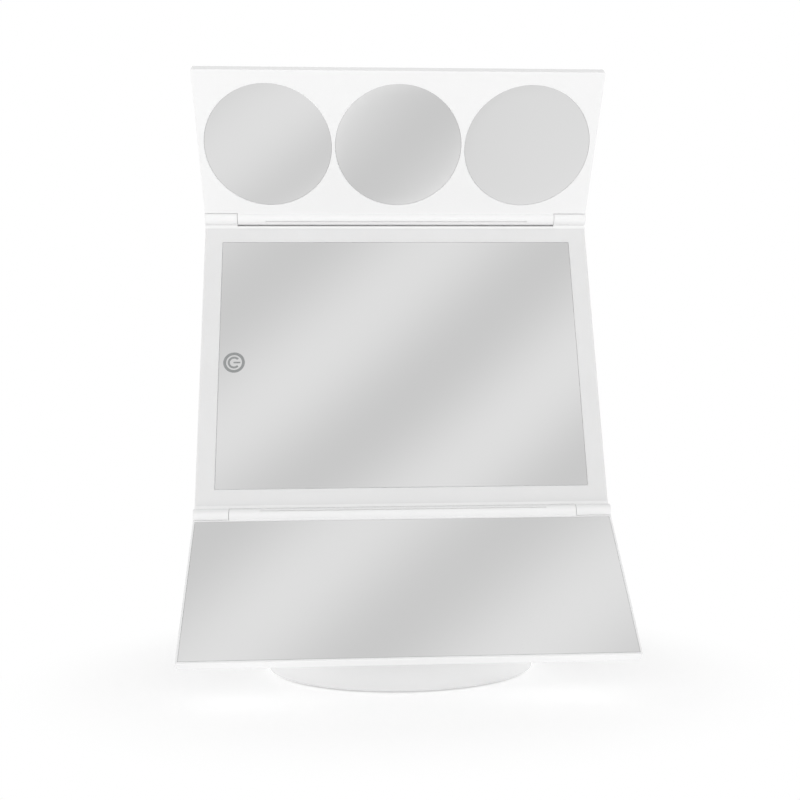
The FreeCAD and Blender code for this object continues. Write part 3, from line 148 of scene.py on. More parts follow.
def shaded(colour, share=1.0):
    """A colour made darker or paler, with its alpha."""
    return (*(min(1.0, part * share) for part in colour), 1.0)


def new_group(name, inputs, outputs):
    """An empty node group with named sockets, and its input and output nodes."""
    tree = bpy.data.node_groups.new(name, "ShaderNodeTree")
    for label, kind, value in inputs:
        socket = tree.interface.new_socket(label, in_out="INPUT", socket_type="NodeSocket" + kind)
        socket.default_value = value
    for label, kind in outputs:
        tree.interface.new_socket(label, in_out="OUTPUT", socket_type="NodeSocket" + kind)
    given = tree.nodes.new("NodeGroupInput").outputs
    result = tree.nodes.new("NodeGroupOutput").inputs
    return tree, given, result


def use(tree, group, **values):
    """Places a group in a material with its own values; underscores stand for spaces."""
    made = tree.nodes.new("ShaderNodeGroup")
    made.node_tree = bpy.data.node_groups[group]
    for key, value in values.items():
        socket = made.inputs[key.replace("_", " ")]
        if isinstance(value, bpy.types.NodeSocket):
            tree.links.new(value, socket)
        else:
            socket.default_value = value
    return made.outputs


# ---- shared effects -----------------------------------------------------------------------------

def moulded_skin():
    """Fine orange peel of a moulded or sprayed skin, with a slow drift in its tone."""
    tree, given, result = new_group(
        "Moulded Skin", [("Grain", "Float", 900.0), ("Drift", "Float", 9.0)],
        [("Height", "Float"), ("Tone", "Float")])
    drift_to_grain = 4.0
    darkest = 0.985
    place = place_of(tree)
    grain = noise(tree, place, given["Grain"], detail=3.0)
    drift = noise(tree, place, given["Drift"], detail=1.0)
    tree.links.new(weighted(tree, grain, (drift, drift_to_grain)), result["Height"])
    tree.links.new(remap(tree, drift, NOISE_LOW, NOISE_HIGH, darkest, 1.0), result["Tone"])


def handling_marks():
    """Faint smears and finger marks, as a mask."""
    tree, given, result = new_group(
        "Handling Marks", [("Size", "Float", 14.0), ("Cover", "Float", 0.5)], [("Mask", "Float")])
    ridges_to_smear = 22.0
    start_without_cover = 0.8
    start_to_cover = -0.4
    soft_edge = 0.16
    between_ridges = 0.4
    ridge_foot, ridge_top = 0.35, 0.65
    place = place_of(tree)
    smear = noise(tree, place, given["Size"], detail=4.0, distortion=1.6)
    fine = maths(tree, "MULTIPLY", given["Size"], ridges_to_smear)
    ridges = noise(tree, place, fine, detail=2.0, distortion=2.5)
    start = weighted(tree, start_without_cover, (given["Cover"], start_to_cover))
    patch = remap(tree, smear, start, maths(tree, "ADD", start, soft_edge), 0.0, 1.0)
    lines = remap(tree, ridges, ridge_foot, ridge_top, between_ridges, 1.0)
    tree.links.new(maths(tree, "MULTIPLY", patch, lines), result["Mask"])


def edge_polish():
    """Where an edge turns within a given width, as a mask: handling rubs edges smooth."""
    tree, given, result = new_group("Edge Polish", [("Width", "Float", 0.0006)], [("Mask", "Float")])
    flat, sharp = 1.0, 0.8
    rounded = add(tree, "Bevel", {"Radius": given["Width"]}, samples=4).outputs[0]
    plain = add(tree, "NewGeometry").outputs["Normal"]
    match = add(tree, "VectorMath", {0: rounded, 1: plain}, operation="DOT_PRODUCT").outputs["Value"]
    tree.links.new(remap(tree, match, flat, sharp, 0.0, 1.0), result["Mask"])


def settled_dust():
    """Specks and a thin film on what faces up, as a mask."""
    tree, given, result = new_group(
        "Settled Dust", [("Amount", "Float", 0.3), ("Speck", "Float", 700.0)], [("Mask", "Float")])
    film_scale = 25.0
    film_cover = 0.35
    speck_edge, speck_middle = 0.66, 0.74
    film_start, film_full = 0.4, 0.8
    steep, level = 0.5, 0.95
    place = place_of(tree)
    specks = noise(tree, place, given["Speck"], detail=1.0)
    film = noise(tree, place, film_scale, detail=3.0)
    cover = maths(tree, "MAXIMUM", remap(tree, specks, speck_edge, speck_middle, 0.0, 1.0),
                  remap(tree, film, film_start, film_full, 0.0, film_cover))
    height = add(tree, "SeparateXYZ", {0: add(tree, "NewGeometry").outputs["Normal"]}).outputs["Z"]
    upward = remap(tree, height, steep, level, 0.0, 1.0)
    tree.links.new(maths(tree, "MULTIPLY", maths(tree, "MULTIPLY", cover, upward), given["Amount"]),
                   result["Mask"])


def drawn_lines():
    """Lines left in metal by drawing, turning or rolling."""
    tree, given, result = new_group(
        "Drawn Lines", [("Stretch", "Vector", (2500.0, 2500.0, 60.0))],
        [("Height", "Float"), ("Streak", "Float")])
    stretched = add(tree, "VectorMath", {0: place_of(tree), 1: given["Stretch"]},
                    operation="MULTIPLY").outputs["Vector"]
    lines = noise(tree, stretched, 1.0, detail=4.0)
    tree.links.new(lines, result["Height"])
    tree.links.new(remap(tree, lines, NOISE_LOW, NOISE_HIGH, 0.0, 1.0), result["Streak"])


def frost_grain():
    """Etched or blasted surface: close fine pits with a soft cloudiness."""
    tree, given, result = new_group(
        "Frost Grain", [("Grain", "Float", 2200.0)], [("Height", "Float"), ("Cloud", "Float")])
    cloud_scale = 40.0
    place = place_of(tree)
    pits = add(tree, "TexVoronoi", {"Vector": place, "Scale": given["Grain"]}).outputs["Distance"]
    cloud = noise(tree, place, cloud_scale, detail=3.0)
    tree.links.new(pits, result["Height"])
    tree.links.new(remap(tree, cloud, NOISE_LOW, NOISE_HIGH, 0.0, 1.0), result["Cloud"])


def studio_bands():
    """Soft stripes between large lamps, from two coordinates: 0 in the gaps and 1 at the lamps."""
    tree, given, result = new_group(
        "Studio Bands", [("First", "Float", 0.0), ("Second", "Float", 0.0), ("Per First", "Float", 1.0),
                         ("Per Second", "Float", 1.0), ("Start", "Float", 0.0)], [("Level", "Float")])
    turns = maths(tree, "ADD", maths(tree, "MULTIPLY", given["First"], given["Per First"]),
                  maths(tree, "MULTIPLY", given["Second"], given["Per Second"]))
    angle = maths(tree, "MULTIPLY_ADD", turns, 2 * math.pi, given["Start"])
    level = maths(tree, "MULTIPLY_ADD", maths(tree, "COSINE", angle), 0.5, 0.5)
    tree.links.new(level, result["Level"])


# ---- finishes -----------------------------------------------------------------------------------

ACRYLIC_IOR = 1.49
COMMON_IOR = 1.5


def new_material(name, **constants):
    """A material with a Principled shader whose plain values are set on its own sockets."""
    made = bpy.data.materials.new(name)
    made.use_nodes = True
    tree = made.node_tree
    shader = tree.nodes["Principled BSDF"]
    for key, value in constants.items():
        shader.inputs[key.replace("_", " ")].default_value = value
    return made, tree, shader.inputs


def link_finish(tree, sockets, colour, roughness, height, strength, depth):
    """Gives a shader its colour, its roughness and its relief, whose depth is in metres."""
    relief = add(tree, "Bump", {"Height": height, "Strength": strength, "Distance": depth}).outputs[0]
    tree.links.new(colour, sockets["Base Color"])
    tree.links.new(roughness, sockets["Roughness"])
    tree.links.new(relief, sockets["Normal"])


def plastic(name, colour, roughness, grain, depth, dust=0.25, marks=0.5):
    """Moulded plastic or sprayed paint: orange peel, finger marks, rubbed edges and settled dust."""
    made, tree, sockets = new_material(name, IOR=ACRYLIC_IOR)
    rubbed_shade, dusty_shade = 1.03, 0.93
    rubbed_off = 0.3
    dulled_by_marks, polished_by_wear, dulled_by_dust = 0.1, -0.25 * roughness, 0.4
    skin = use(tree, "Moulded Skin", Grain=grain, Drift=9.0)
    mark = use(tree, "Handling Marks", Size=14.0, Cover=marks)["Mask"]
    worn = use(tree, "Edge Polish", Width=0.0006)["Mask"]
    powder = use(tree, "Settled Dust", Amount=dust, Speck=800.0)["Mask"]
    toned = mixed(tree, 1.0, shaded(colour), skin["Tone"], "MULTIPLY")
    rubbed = mixed(tree, maths(tree, "MULTIPLY", worn, rubbed_off), toned, shaded(colour, rubbed_shade))
    dusted = mixed(tree, powder, rubbed, shaded(colour, dusty_shade))
    rough = weighted(tree, roughness, (mark, dulled_by_marks), (worn, polished_by_wear),
                     (powder, dulled_by_dust))
    link_finish(tree, sockets, dusted, rough, skin["Height"], strength=0.16, depth=depth)
    return made


def mirror_glass(name, tint, out, ground, flatness=0.97):
    """Silvered glass: bright where it faces out, ground glass at its edges and grey paint behind.

    Flatness is the cosine of the angle up to which a face counts as facing out.
    """
    made, tree, sockets = new_material(name, IOR=COMMON_IOR)
    paint_dark = (0.20, 0.20, 0.21, 1.0)
    paint_pale = (0.24, 0.24, 0.25, 1.0)
    ground_shade = 0.85
    blend = 0.02
    side, back = -0.5, -0.6
    clean_roughness, ground_roughness = 0.012, 0.42
    dulled_by_marks, dulled_by_dust = 0.035, 0.5
    normal = add(tree, "TexCoord").outputs["Normal"]
    match = add(tree, "VectorMath", {0: normal, 1: tuple(out)}, operation="DOT_PRODUCT").outputs["Value"]
    face = remap(tree, match, flatness - blend, flatness, 0.0, 1.0)
    behind = remap(tree, match, side, back, 0.0, 1.0)
    mark = use(tree, "Handling Marks", Size=9.0, Cover=0.35)["Mask"]
    skin = use(tree, "Moulded Skin", Grain=60.0, Drift=5.0)
    frost = use(tree, "Frost Grain", Grain=2600.0)
    powder = use(tree, "Settled Dust", Amount=0.12, Speck=900.0)["Mask"]
    silver = mixed(tree, 1.0, shaded(tint), skin["Tone"], "MULTIPLY")
    edge = mixed(tree, frost["Cloud"], shaded(ground, ground_shade), shaded(ground))
    paint = mixed(tree, skin["Tone"], paint_dark, paint_pale)
    coloured = mixed(tree, face, mixed(tree, behind, edge, paint), silver)
    polished = weighted(tree, clean_roughness, (mark, dulled_by_marks), (powder, dulled_by_dust))
    rough = between(tree, face, ground_roughness, polished)
    pits = maths(tree, "MULTIPLY", frost["Height"], maths(tree, "SUBTRACT", 1.0, face))
    link_finish(tree, sockets, coloured, rough, pits, strength=0.3, depth=0.00004)
    tree.links.new(maths(tree, "MULTIPLY", face, maths(tree, "SUBTRACT", 1.0, powder)), sockets["Metallic"])
    return made


def frosted_acrylic(name, colour):
    """Milky diffuser with an etched face."""
    made, tree, sockets = new_material(name, IOR=ACRYLIC_IOR, Subsurface_Weight=0.25,
                                       Subsurface_Scale=0.002, Subsurface_Radius=(1.0, 0.97, 0.93))
    cloudy_shade, dusty_shade = 0.985, 0.94
    roughness, polished_by_marks = 0.42, -0.08
    frost = use(tree, "Frost Grain", Grain=2400.0)
    mark = use(tree, "Handling Marks", Size=16.0, Cover=0.4)["Mask"]
    powder = use(tree, "Settled Dust", Amount=0.2, Speck=800.0)["Mask"]
    cloudy = mixed(tree, frost["Cloud"], shaded(colour, cloudy_shade), shaded(colour))
    dusted = mixed(tree, powder, cloudy, shaded(colour, dusty_shade))
    rough = weighted(tree, roughness, (mark, polished_by_marks))
    link_finish(tree, sockets, dusted, rough, frost["Height"], strength=0.08, depth=0.00002)
    return made


def metal(name, tones, roughness, stretch, tarnish=0.0):
    """Drawn, turned or rolled metal with lines along it and a little tarnish."""
    made, tree, sockets = new_material(name, Metallic=1.0)
    bright, dark = tones
    tarnish_shade = 0.6
    marks_cover, marks_tarnish = 0.5 + tarnish, 0.3 + tarnish
    rubbed_bright = 0.5
    dulled_by_streaks, dulled_by_marks = 0.12, 0.15
    lines = use(tree, "Drawn Lines", Stretch=stretch)
    mark = use(tree, "Handling Marks", Size=60.0, Cover=marks_cover)["Mask"]
    worn = use(tree, "Edge Polish", Width=0.0003)["Mask"]
    lined = mixed(tree, lines["Streak"], shaded(dark), shaded(bright))
    dulled = mixed(tree, maths(tree, "MULTIPLY", mark, marks_tarnish), lined, shaded(dark, tarnish_shade))
    rubbed = mixed(tree, maths(tree, "MULTIPLY", worn, rubbed_bright), dulled, shaded(bright))
    rough = weighted(tree, roughness, (lines["Streak"], dulled_by_streaks), (mark, dulled_by_marks))
    link_finish(tree, sockets, rubbed, rough, lines["Height"], strength=0.3, depth=0.00002)
    return made


def rubber(name, colour):
    """Matt rubber with a fine cast grain and pale scuffs on its edges."""
    made, tree, sockets = new_material(name, IOR=COMMON_IOR)
    dust_colour = (0.5, 0.49, 0.47, 1.0)
    cloudy_shade, scuffed_shade = 1.15, 1.5
    scuffed_off = 0.35
    roughness, dulled_by_grain = 0.72, 0.1
    frost = use(tree, "Frost Grain", Grain=1500.0)
    worn = use(tree, "Edge Polish", Width=0.0005)["Mask"]
    powder = use(tree, "Settled Dust", Amount=0.5, Speck=900.0)["Mask"]
    cloudy = mixed(tree, frost["Cloud"], shaded(colour), shaded(colour, cloudy_shade))
    scuffed = mixed(tree, maths(tree, "MULTIPLY", worn, scuffed_off), cloudy, shaded(colour, scuffed_shade))
    dusted = mixed(tree, powder, scuffed, dust_colour)
    rough = weighted(tree, roughness, (frost["Cloud"], dulled_by_grain))
    link_finish(tree, sockets, dusted, rough, frost["Height"], strength=0.4, depth=0.00008)
    return made


def etched_mark(name, colour):
    """Mark etched through the silvering: matt grey with the grain of the etch."""
    made, tree, sockets = new_material(name, IOR=COMMON_IOR)
    cloudy_shade = 0.94
    roughness, dulled_by_grain = 0.45, 0.08
    frost = use(tree, "Frost Grain", Grain=4000.0)
    cloudy = mixed(tree, frost["Cloud"], shaded(colour, cloudy_shade), shaded(colour))
    rough = weighted(tree, roughness, (frost["Cloud"], dulled_by_grain))
    link_finish(tree, sockets, cloudy, rough, frost["Height"], strength=0.2, depth=0.00001)
    return made


def circuit_board(name, mask, copper):
    """Solder mask over copper runs, with the runs as a low relief."""
    made, tree, sockets = new_material(name, IOR=COMMON_IOR)
    copper_through = 0.5
    roughness, dulled_by_tone = 0.25, 0.1
    runs = add(tree, "TexBrick", {"Vector": place_of(tree), "Scale": 160.0,
                                  "Mortar Size": 0.03}).outputs["Fac"]
    skin = use(tree, "Moulded Skin", Grain=1200.0, Drift=30.0)
    toned = mixed(tree, 1.0, shaded(mask), skin["Tone"], "MULTIPLY")
    coloured = mixed(tree, maths(tree, "MULTIPLY", runs, copper_through), toned, shaded(copper))
    rough = weighted(tree, roughness, (skin["Tone"], dulled_by_tone))
    link_finish(tree, sockets, coloured, rough, runs, strength=0.3, depth=0.00003)
    return made


def cell_jacket(name, sleeve, collar, low, high):
    """Plain cell along Y: a coloured sleeve with a collar at one end and bare metal at both tips."""
    made, tree, sockets = new_material(name, IOR=COMMON_IOR)
    bare_metal = (0.62, 0.61, 0.58, 1.0)
    span = high - low
    collar_start = low + 0.78 * span
    sleeve_start = low + 0.015 * span
    sleeve_end = high - 0.03 * span
    rubbed_bare = 0.4
    roughness, polished_where_bare = 0.34, -0.08
    along = add(tree, "SeparateXYZ", {0: place_of(tree)}).outputs["Y"]
    skin = use(tree, "Moulded Skin", Grain=1500.0, Drift=40.0)
    worn = use(tree, "Edge Polish", Width=0.0004)["Mask"]
    banded = mixed(tree, maths(tree, "GREATER_THAN", along, collar_start), shaded(sleeve), shaded(collar))
    toned = mixed(tree, 1.0, banded, skin["Tone"], "MULTIPLY")
    tip = maths(tree, "MAXIMUM", maths(tree, "LESS_THAN", along, sleeve_start),
                maths(tree, "GREATER_THAN", along, sleeve_end))
    bare = maths(tree, "MAXIMUM", tip, maths(tree, "MULTIPLY", worn, rubbed_bare))
    rough = weighted(tree, roughness, (bare, polished_where_bare))
    link_finish(tree, sockets, mixed(tree, bare, toned, bare_metal), rough, skin["Height"],
                strength=0.2, depth=0.00002)
    tree.links.new(bare, sockets["Metallic"])
    return made


def dress(material, *nodes):
    """Puts a material on CAD nodes."""
    for name in nodes:
        slots = frame["nodes"][name].material_slots
        if not slots:
            raise RuntimeError(f"{name} has no material slot")
        for slot in slots:
            slot.material = material


# ---- settings -----------------------------------------------------------------------------------

def length(name, description, default, low=0.0):
    """A length in metres."""
    return bpy.props.FloatProperty(name=name, description=description, default=default, min=low,
                                   subtype="DISTANCE", unit="LENGTH", precision=5)


def amount(name, description, default, high=10.0):
    """A plain number from nothing up."""
    return bpy.props.FloatProperty(name=name, description=description, default=default, min=0.0,
                                   max=high, subtype="FACTOR")


def watts(name, description, default):
    """A lamp's power in watts."""
    return bpy.props.FloatProperty(name=name, description=description, default=default, min=0.0,
                                   subtype="POWER", unit="POWER")


def hue(name, description, default):
    """A colour."""
    return bpy.props.FloatVectorProperty(name=name, description=description, default=default, size=3,
                                         min=0.0, max=1.0, subtype="COLOR")


def spot(name, description, default):
    """A place in metres."""
    return bpy.props.FloatVectorProperty(name=name, description=description, default=default, size=3,
                                         subtype="TRANSLATION", unit="LENGTH")


class VanityColours(bpy.types.PropertyGroup):
    """Colours of the finishes"""
    gloss: hue("Gloss plastic", "Covers, frame, hub and wings", (0.915, 0.915, 0.915))
    satin: hue("Satin plastic", "Base plate and battery door", (0.86, 0.86, 0.855))
    paint: hue("Sprayed metal", "Stem, stem head and bracket", (0.88, 0.88, 0.88))
    diffuser: hue("Diffuser", "Frosted border round the centre mirror", (0.805, 0.805, 0.805))
    silver: hue("Silvering", "What the mirrors reflect", (0.737, 0.737, 0.737))
    pale_edge: hue("Pale glass edge", "Ground edges of the centre and round mirrors", (0.78, 0.80, 0.79))
    dark_edge: hue("Dark glass edge", "Ground edge of the lower mirror", (0.26, 0.29, 0.28))
    mark: hue("Touch mark", "Etched ring and standby sign", (0.30, 0.31, 0.31))
    feet: hue("Rubber", "Feet", (0.30, 0.30, 0.31))
    slide: hue("Slide plastic", "Washers of the tilt joint and the hub", (0.78, 0.77, 0.72))
    sleeve: hue("Cell's sleeve", "Sleeve of the cells", (0.10, 0.11, 0.12))
    collar: hue("Cell's collar", "Collar of the cells", (0.62, 0.40, 0.16))


class VanitySizes(bpy.types.PropertyGroup):
    """Sizes of the touch key's mark"""
    mark_side: length("Mark, to the side", "Panel's centre to the mark's centre", 0.1164)
    mark_drop: length("Mark, down", "Mark's centre below the panel's centre", 0.0011)
    ring_out: length("Ring, outside", "Outer radius of the touch key's ring", 0.0075)
    ring_in: length("Ring, inside", "Inner radius of the touch key's ring", 0.0055)
    sign_out: length("Sign, outside", "Outer radius of the standby sign's arc", 0.0044)
    sign_in: length("Sign, inside", "Inner radius of the standby sign's arc", 0.0029)
    sign_open: bpy.props.FloatProperty(name="Sign's opening", description="Gap in the standby sign's arc",
                                       default=math.radians(86), min=0.0, subtype="ANGLE", unit="ROTATION")
    bar_start: length("Bar's start", "From the mark's centre", -0.0005, low=-1.0)
    bar_end: length("Bar's end", "From the mark's centre", 0.0045)
    bar_width: length("Bar's width", "Across the bar", 0.0011)
    film: length("Mark's thickness", "Etched film on the glass", 0.00003)


class VanityStudio(bpy.types.PropertyGroup):
    """Light, floor and camera"""
    surround: amount("Surround", "Level of the light from all round", 1.01)
    zenith: amount("Zenith", "Level of the light from above", 0.45)
    aside: amount("Aside", "Added to the light from the left and the right", 0.5)
    lamp: watts("Lamp", "Power of the large lamp above", 0.6)
    lamp_spot: spot("Lamp's place", "Place of the large lamp above", (-0.35, -0.75, 1.7))
    fill: watts("Fill", "Power of the large low lamp in front", 7.2)
    fill_spot: spot("Fill's place", "Place of the large low lamp", (-0.1, -1.7, 0.35))
    aim: spot("Lamps' aim", "Point that the lamps are turned to", (0.0, -0.05, 0.2))
    lamp_size: length("Lamps' size", "Side of the large lamps", 1.6)
    floor_half: length("Floor", "Centre to the floor's edge", 4.0)
    floor_white: amount("Floor's white", "How white the floor is", 0.92, high=1.0)
    floor_lift: amount("Floor's lift", "Added to the floor where it is seen", 0.29, high=1.0)
    # Painted light under the base's rim: a glow added there that lightens the base's contact shadow.
    seam_painted_light: amount("Seam's lift", "The same under the base's rim", 0.45, high=1.0)
    floor_glow: amount("Floor's glow", "Light that the floor sends up", 0.31, high=1.0)
    side_glow: amount("Side glow", "Added to it at the left and the right of the base", 0.30, high=1.0)
    gap_level: amount("Gaps", "Level of the gaps between lamps, as mirrors see them", 0.80, high=1.0)
    eye: spot("Camera", "Place of the camera", (-0.035172, -0.738563, 0.144538))
    turn: bpy.props.FloatVectorProperty(name="Camera's turn", description="Turn of the camera", size=3,
                                        default=tuple(math.radians(a) for a in (93.79089, 0.65525, -2.81815)),
                                        subtype="EULER", unit="ROTATION")
    lens: bpy.props.FloatProperty(name="Lens", description="Focal length in millimetres", default=44.739,
                                  min=1.0, subtype="DISTANCE_CAMERA", unit="CAMERA")


# ---- finishes on the pieces ---------------------------------------------------------------------

# Bright and dark tone of each bare metal.
PLATED_STEEL = ((0.68, 0.68, 0.67), (0.46, 0.46, 0.46))
SPRING_BRASS = ((0.72, 0.56, 0.28), (0.52, 0.38, 0.17))
ROLLED_STEEL = ((0.42, 0.42, 0.43), (0.24, 0.24, 0.25))
PLATED_SHELL = ((0.74, 0.74, 0.73), (0.55, 0.55, 0.55))
NICKEL = ((0.70, 0.68, 0.64), (0.5, 0.48, 0.45))

# Solder mask and runs of the boards.
GREEN_MASK = (0.02, 0.16, 0.07)
GREEN_RUNS = (0.05, 0.26, 0.12)
WHITE_MASK = (0.80, 0.80, 0.78)
WHITE_RUNS = (0.70, 0.66, 0.50)


class VANITY_OT_shared_effects(bpy.types.Operator):
    """Makes the node groups that the finishes share"""
    bl_idname = "vanity.shared_effects"
    bl_label = "Shared effects"

    def execute(self, context):
        for make in (moulded_skin, handling_marks, edge_polish, settled_dust, drawn_lines, frost_grain,
                     studio_bands):
            make()
        return {"FINISHED"}


class VANITY_OT_case(bpy.types.Operator):
    """Gloss plastic on the covers, the frame, the hub and the wings"""
    bl_idname = "vanity.case"
    bl_label = "Case"

    def execute(self, context):
        gloss = plastic("white_gloss_case", context.scene.vanity_colours.gloss, roughness=0.2, grain=420.0,
                        depth=0.00003)
        dress(gloss, "base_cover", "centre_frame", "rear_cover", "upper_wing_shell", "upper_wing_bezel",
              "lower_wing_shell", "stem_collar", "turn_hub")
        return {"FINISHED"}


class VANITY_OT_underside(bpy.types.Operator):
    """Satin plastic and rubber feet under the base"""
    bl_idname = "vanity.underside"
    bl_label = "Underside"

    def execute(self, context):
        colours = context.scene.vanity_colours
        satin = plastic("white_satin_underside", colours.satin, roughness=0.46, grain=1100.0,
                        depth=0.00006, dust=0.1, marks=0.3)
        dress(satin, "base_plate", "battery_door")
        dress(rubber("grey_rubber_feet", colours.feet), "base_feet")
        return {"FINISHED"}


class VANITY_OT_stem(bpy.types.Operator):
    """Sprayed metal on the stem and the bracket, and plain plastic on the joints' washers"""
    bl_idname = "vanity.stem"
    bl_label = "Stem and tilt joint"

    def execute(self, context):
        colours = context.scene.vanity_colours
        sprayed = plastic("white_sprayed_metal", colours.paint, roughness=0.32, grain=650.0, depth=0.00008)
        dress(sprayed, "stem_tube", "stem_head", "tilt_bracket")
        slide = plastic("natural_slide_plastic", colours.slide, roughness=0.4, grain=900.0, depth=0.00003,
                        dust=0.0)
        dress(slide, "slide_washer", "friction_washers")
        return {"FINISHED"}


class VANITY_OT_glass(bpy.types.Operator):
    """Silvered glass on the five mirrors and frosted acrylic on the light border"""
    bl_idname = "vanity.glass"
    bl_label = "Mirrors and light border"

    def execute(self, context):
        colours = context.scene.vanity_colours
        centre = mirror_glass("centre_silvered_glass", colours.silver, PANEL_OUT, colours.pale_edge)
        dress(centre, "centre_mirror")
        lower = mirror_glass("lower_silvered_glass", colours.silver, facing("lower_mirror"),
                             colours.dark_edge)
        dress(lower, "lower_mirror")
        hollow = mirror_glass("round_silvered_glass", colours.silver, facing("magnifier_middle"),
                              colours.pale_edge, flatness=0.985)
        dress(hollow, "magnifier_left", "magnifier_middle", "magnifier_right")
        dress(frosted_acrylic("frosted_light_border", colours.diffuser), "light_border")
        return {"FINISHED"}


class VANITY_OT_fasteners(bpy.types.Operator):
    """Steel on screws, pins, bolt, nuts and retainer, brass sleeves, and a rolled steel ballast plate"""
    bl_idname = "vanity.fasteners"
    bl_label = "Fasteners and ballast"

    def execute(self, context):
        steel = metal("zinc_plated_steel", PLATED_STEEL, roughness=0.22, stretch=(900.0, 900.0, 900.0))
        dress(steel, "base_screws", "door_screw", "stem_nut", "stem_washer", "tilt_bolt", "tilt_nut",
              "hub_retainer", "retainer_screws", "hub_screws", "case_screws", "hinge_pins")
        brass = metal("spring_brass", SPRING_BRASS, roughness=0.25, stretch=(90.0, 1500.0, 1500.0),
                      tarnish=0.1)
        dress(brass, "upper_friction_sleeves", "lower_friction_sleeves")
        rolled = metal("rolled_steel", ROLLED_STEEL, roughness=0.4, stretch=(40.0, 1800.0, 1800.0),
                       tarnish=0.3)
        dress(rolled, "ballast_plate")
        return {"FINISHED"}


class VANITY_OT_supply(bpy.types.Operator):
    """Finishes of the supply inlet, the cells, their contacts, the boards and the lights"""
    bl_idname = "vanity.supply"
    bl_label = "Supply and lights"

    def execute(self, context):
        colours = context.scene.vanity_colours
        shell = metal("plated_inlet_shell", PLATED_SHELL, roughness=0.18, stretch=(1500.0, 120.0, 1500.0))
        dress(shell, "supply_inlet")
        nickel = metal("nickel_contacts", NICKEL, roughness=0.2, stretch=(1500.0, 90.0, 90.0))
        dress(nickel, "leaf_contacts", "sheet_contacts")
        for cell in sorted(name for name in frame["nodes"] if name.startswith("aa_cell_")):
            low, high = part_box(cell)
            sleeve = cell.replace("aa_cell", "cell_sleeve")
            dress(cell_jacket(sleeve, colours.sleeve, colours.collar, low[1], high[1]), cell)
        dress(circuit_board("green_board", GREEN_MASK, GREEN_RUNS), "driver_board", "inlet_board",
              "touch_sensor")
        dress(circuit_board("white_light_board", WHITE_MASK, WHITE_RUNS), "light_strip_left",
              "light_strip_right", "light_strip_top", "light_strip_bottom")
        return {"FINISHED"}


# ---- touch mark ---------------------------------------------------------------------------------

RING_STEPS = 96
SIGN_STEPS = 64
BAR_END_STEPS = 10


def arc_band(mesh, inner, outer, opening, steps):
    """Flat ring round the origin, or with an opening towards X an arc of one."""
    closed = opening == 0
    count = steps if closed else steps + 1
    pairs = []
    for step in range(count):
        angle = opening / 2 + (2 * math.pi - opening) * step / steps
        way = Vector((math.cos(angle), math.sin(angle), 0))
        pairs.append((mesh.verts.new(way * inner), mesh.verts.new(way * outer)))
    for step in range(steps):
        here, there = pairs[step], pairs[(step + 1) % count]
        mesh.faces.new((here[0], here[1], there[1], there[0]))


def round_bar(mesh, start, end, width):
    """Flat bar along X with half round ends."""
    radius = width / 2
    corners = []
    for centre, turn in ((end - radius, -90), (start + radius, 90)):
        for step in range(BAR_END_STEPS + 1):
            angle = math.radians(turn + 180 * step / BAR_END_STEPS)
            corners.append(mesh.verts.new((centre + math.cos(angle) * radius, math.sin(angle) * radius, 0)))
    mesh.faces.new(corners)


class VANITY_OT_touch_mark(bpy.types.Operator):
    """Ring and standby sign of the touch key, etched in the left of the centre mirror"""
    bl_idname = "vanity.touch_mark"
    bl_label = "Touch key's mark"

    def execute(self, context):
        sizes = context.scene.vanity_sizes
        mesh = bmesh.new()
        arc_band(mesh, sizes.ring_in, sizes.ring_out, 0.0, RING_STEPS)
        arc_band(mesh, sizes.sign_in, sizes.sign_out, sizes.sign_open, SIGN_STEPS)
        round_bar(mesh, sizes.bar_start, sizes.bar_end, sizes.bar_width)
        middle = (PANEL_PIVOT + PANEL_OUT * (reach("centre_mirror") + sizes.film)
                  - ACROSS * sizes.mark_side - PANEL_UP * sizes.mark_drop)
        panel_turn = Matrix((ACROSS, PANEL_UP, PANEL_OUT)).transposed().to_4x4()
        mesh.transform(Matrix.Translation(middle) @ panel_turn)
        bmesh.ops.recalc_face_normals(mesh, faces=mesh.faces)
        data = bpy.data.meshes.new("touch_mark")
        mesh.to_mesh(data)
        mesh.free()
        mark = bpy.data.objects.new("touch_mark", data)
        context.scene.collection.objects.link(mark)
        film = mark.modifiers.new("film", "SOLIDIFY")
        film.thickness = sizes.film
        film.offset = -1.0
        data.materials.append(etched_mark("etched_touch_mark", context.scene.vanity_colours.mark))
        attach(mark, "head")
        return {"FINISHED"}


# ---- stage --------------------------------------------------------------------------------------

# Stripes that the mirrors show: turns for each unit of two coordinates, and the angle they start at.
# On the floor the coordinates are places in metres, and in the surround they are directions.
BROAD_STRIPES = {"Per_First": 8.725, "Per_Second": 11.33, "Start": 0.84}
NARROW_STRIPES = {"Per_First": 11.336, "Per_Second": 13.352, "Start": -2.736}
FRONT_STRIPES = {"Per_First": -3.59, "Per_Second": 4.925, "Start": math.pi - 8.31}
OVERHEAD_STRIPES = {"Per_First": 3.36, "Per_Second": -3.907, "Start": math.pi - 9.05}
BROAD_DEPTH = 0.19
NARROW_DEPTH = 0.085
STRIPED_FLOOR_MEAN = 0.9345

# Heights and sideways parts of a direction between which the surround changes.
OVERHEAD_STRIPES_FROM, OVERHEAD_STRIPES_FULL = 0.70, 0.86
ZENITH_FROM, ZENITH_FULL = 0.0, 0.9
ASIDE_FROM, ASIDE_FULL = 0.7, 1.0


def from_rim(start, end):
    """A span of distances from the base's middle, given from its rim."""
    return BASE_RADIUS + start, BASE_RADIUS + end
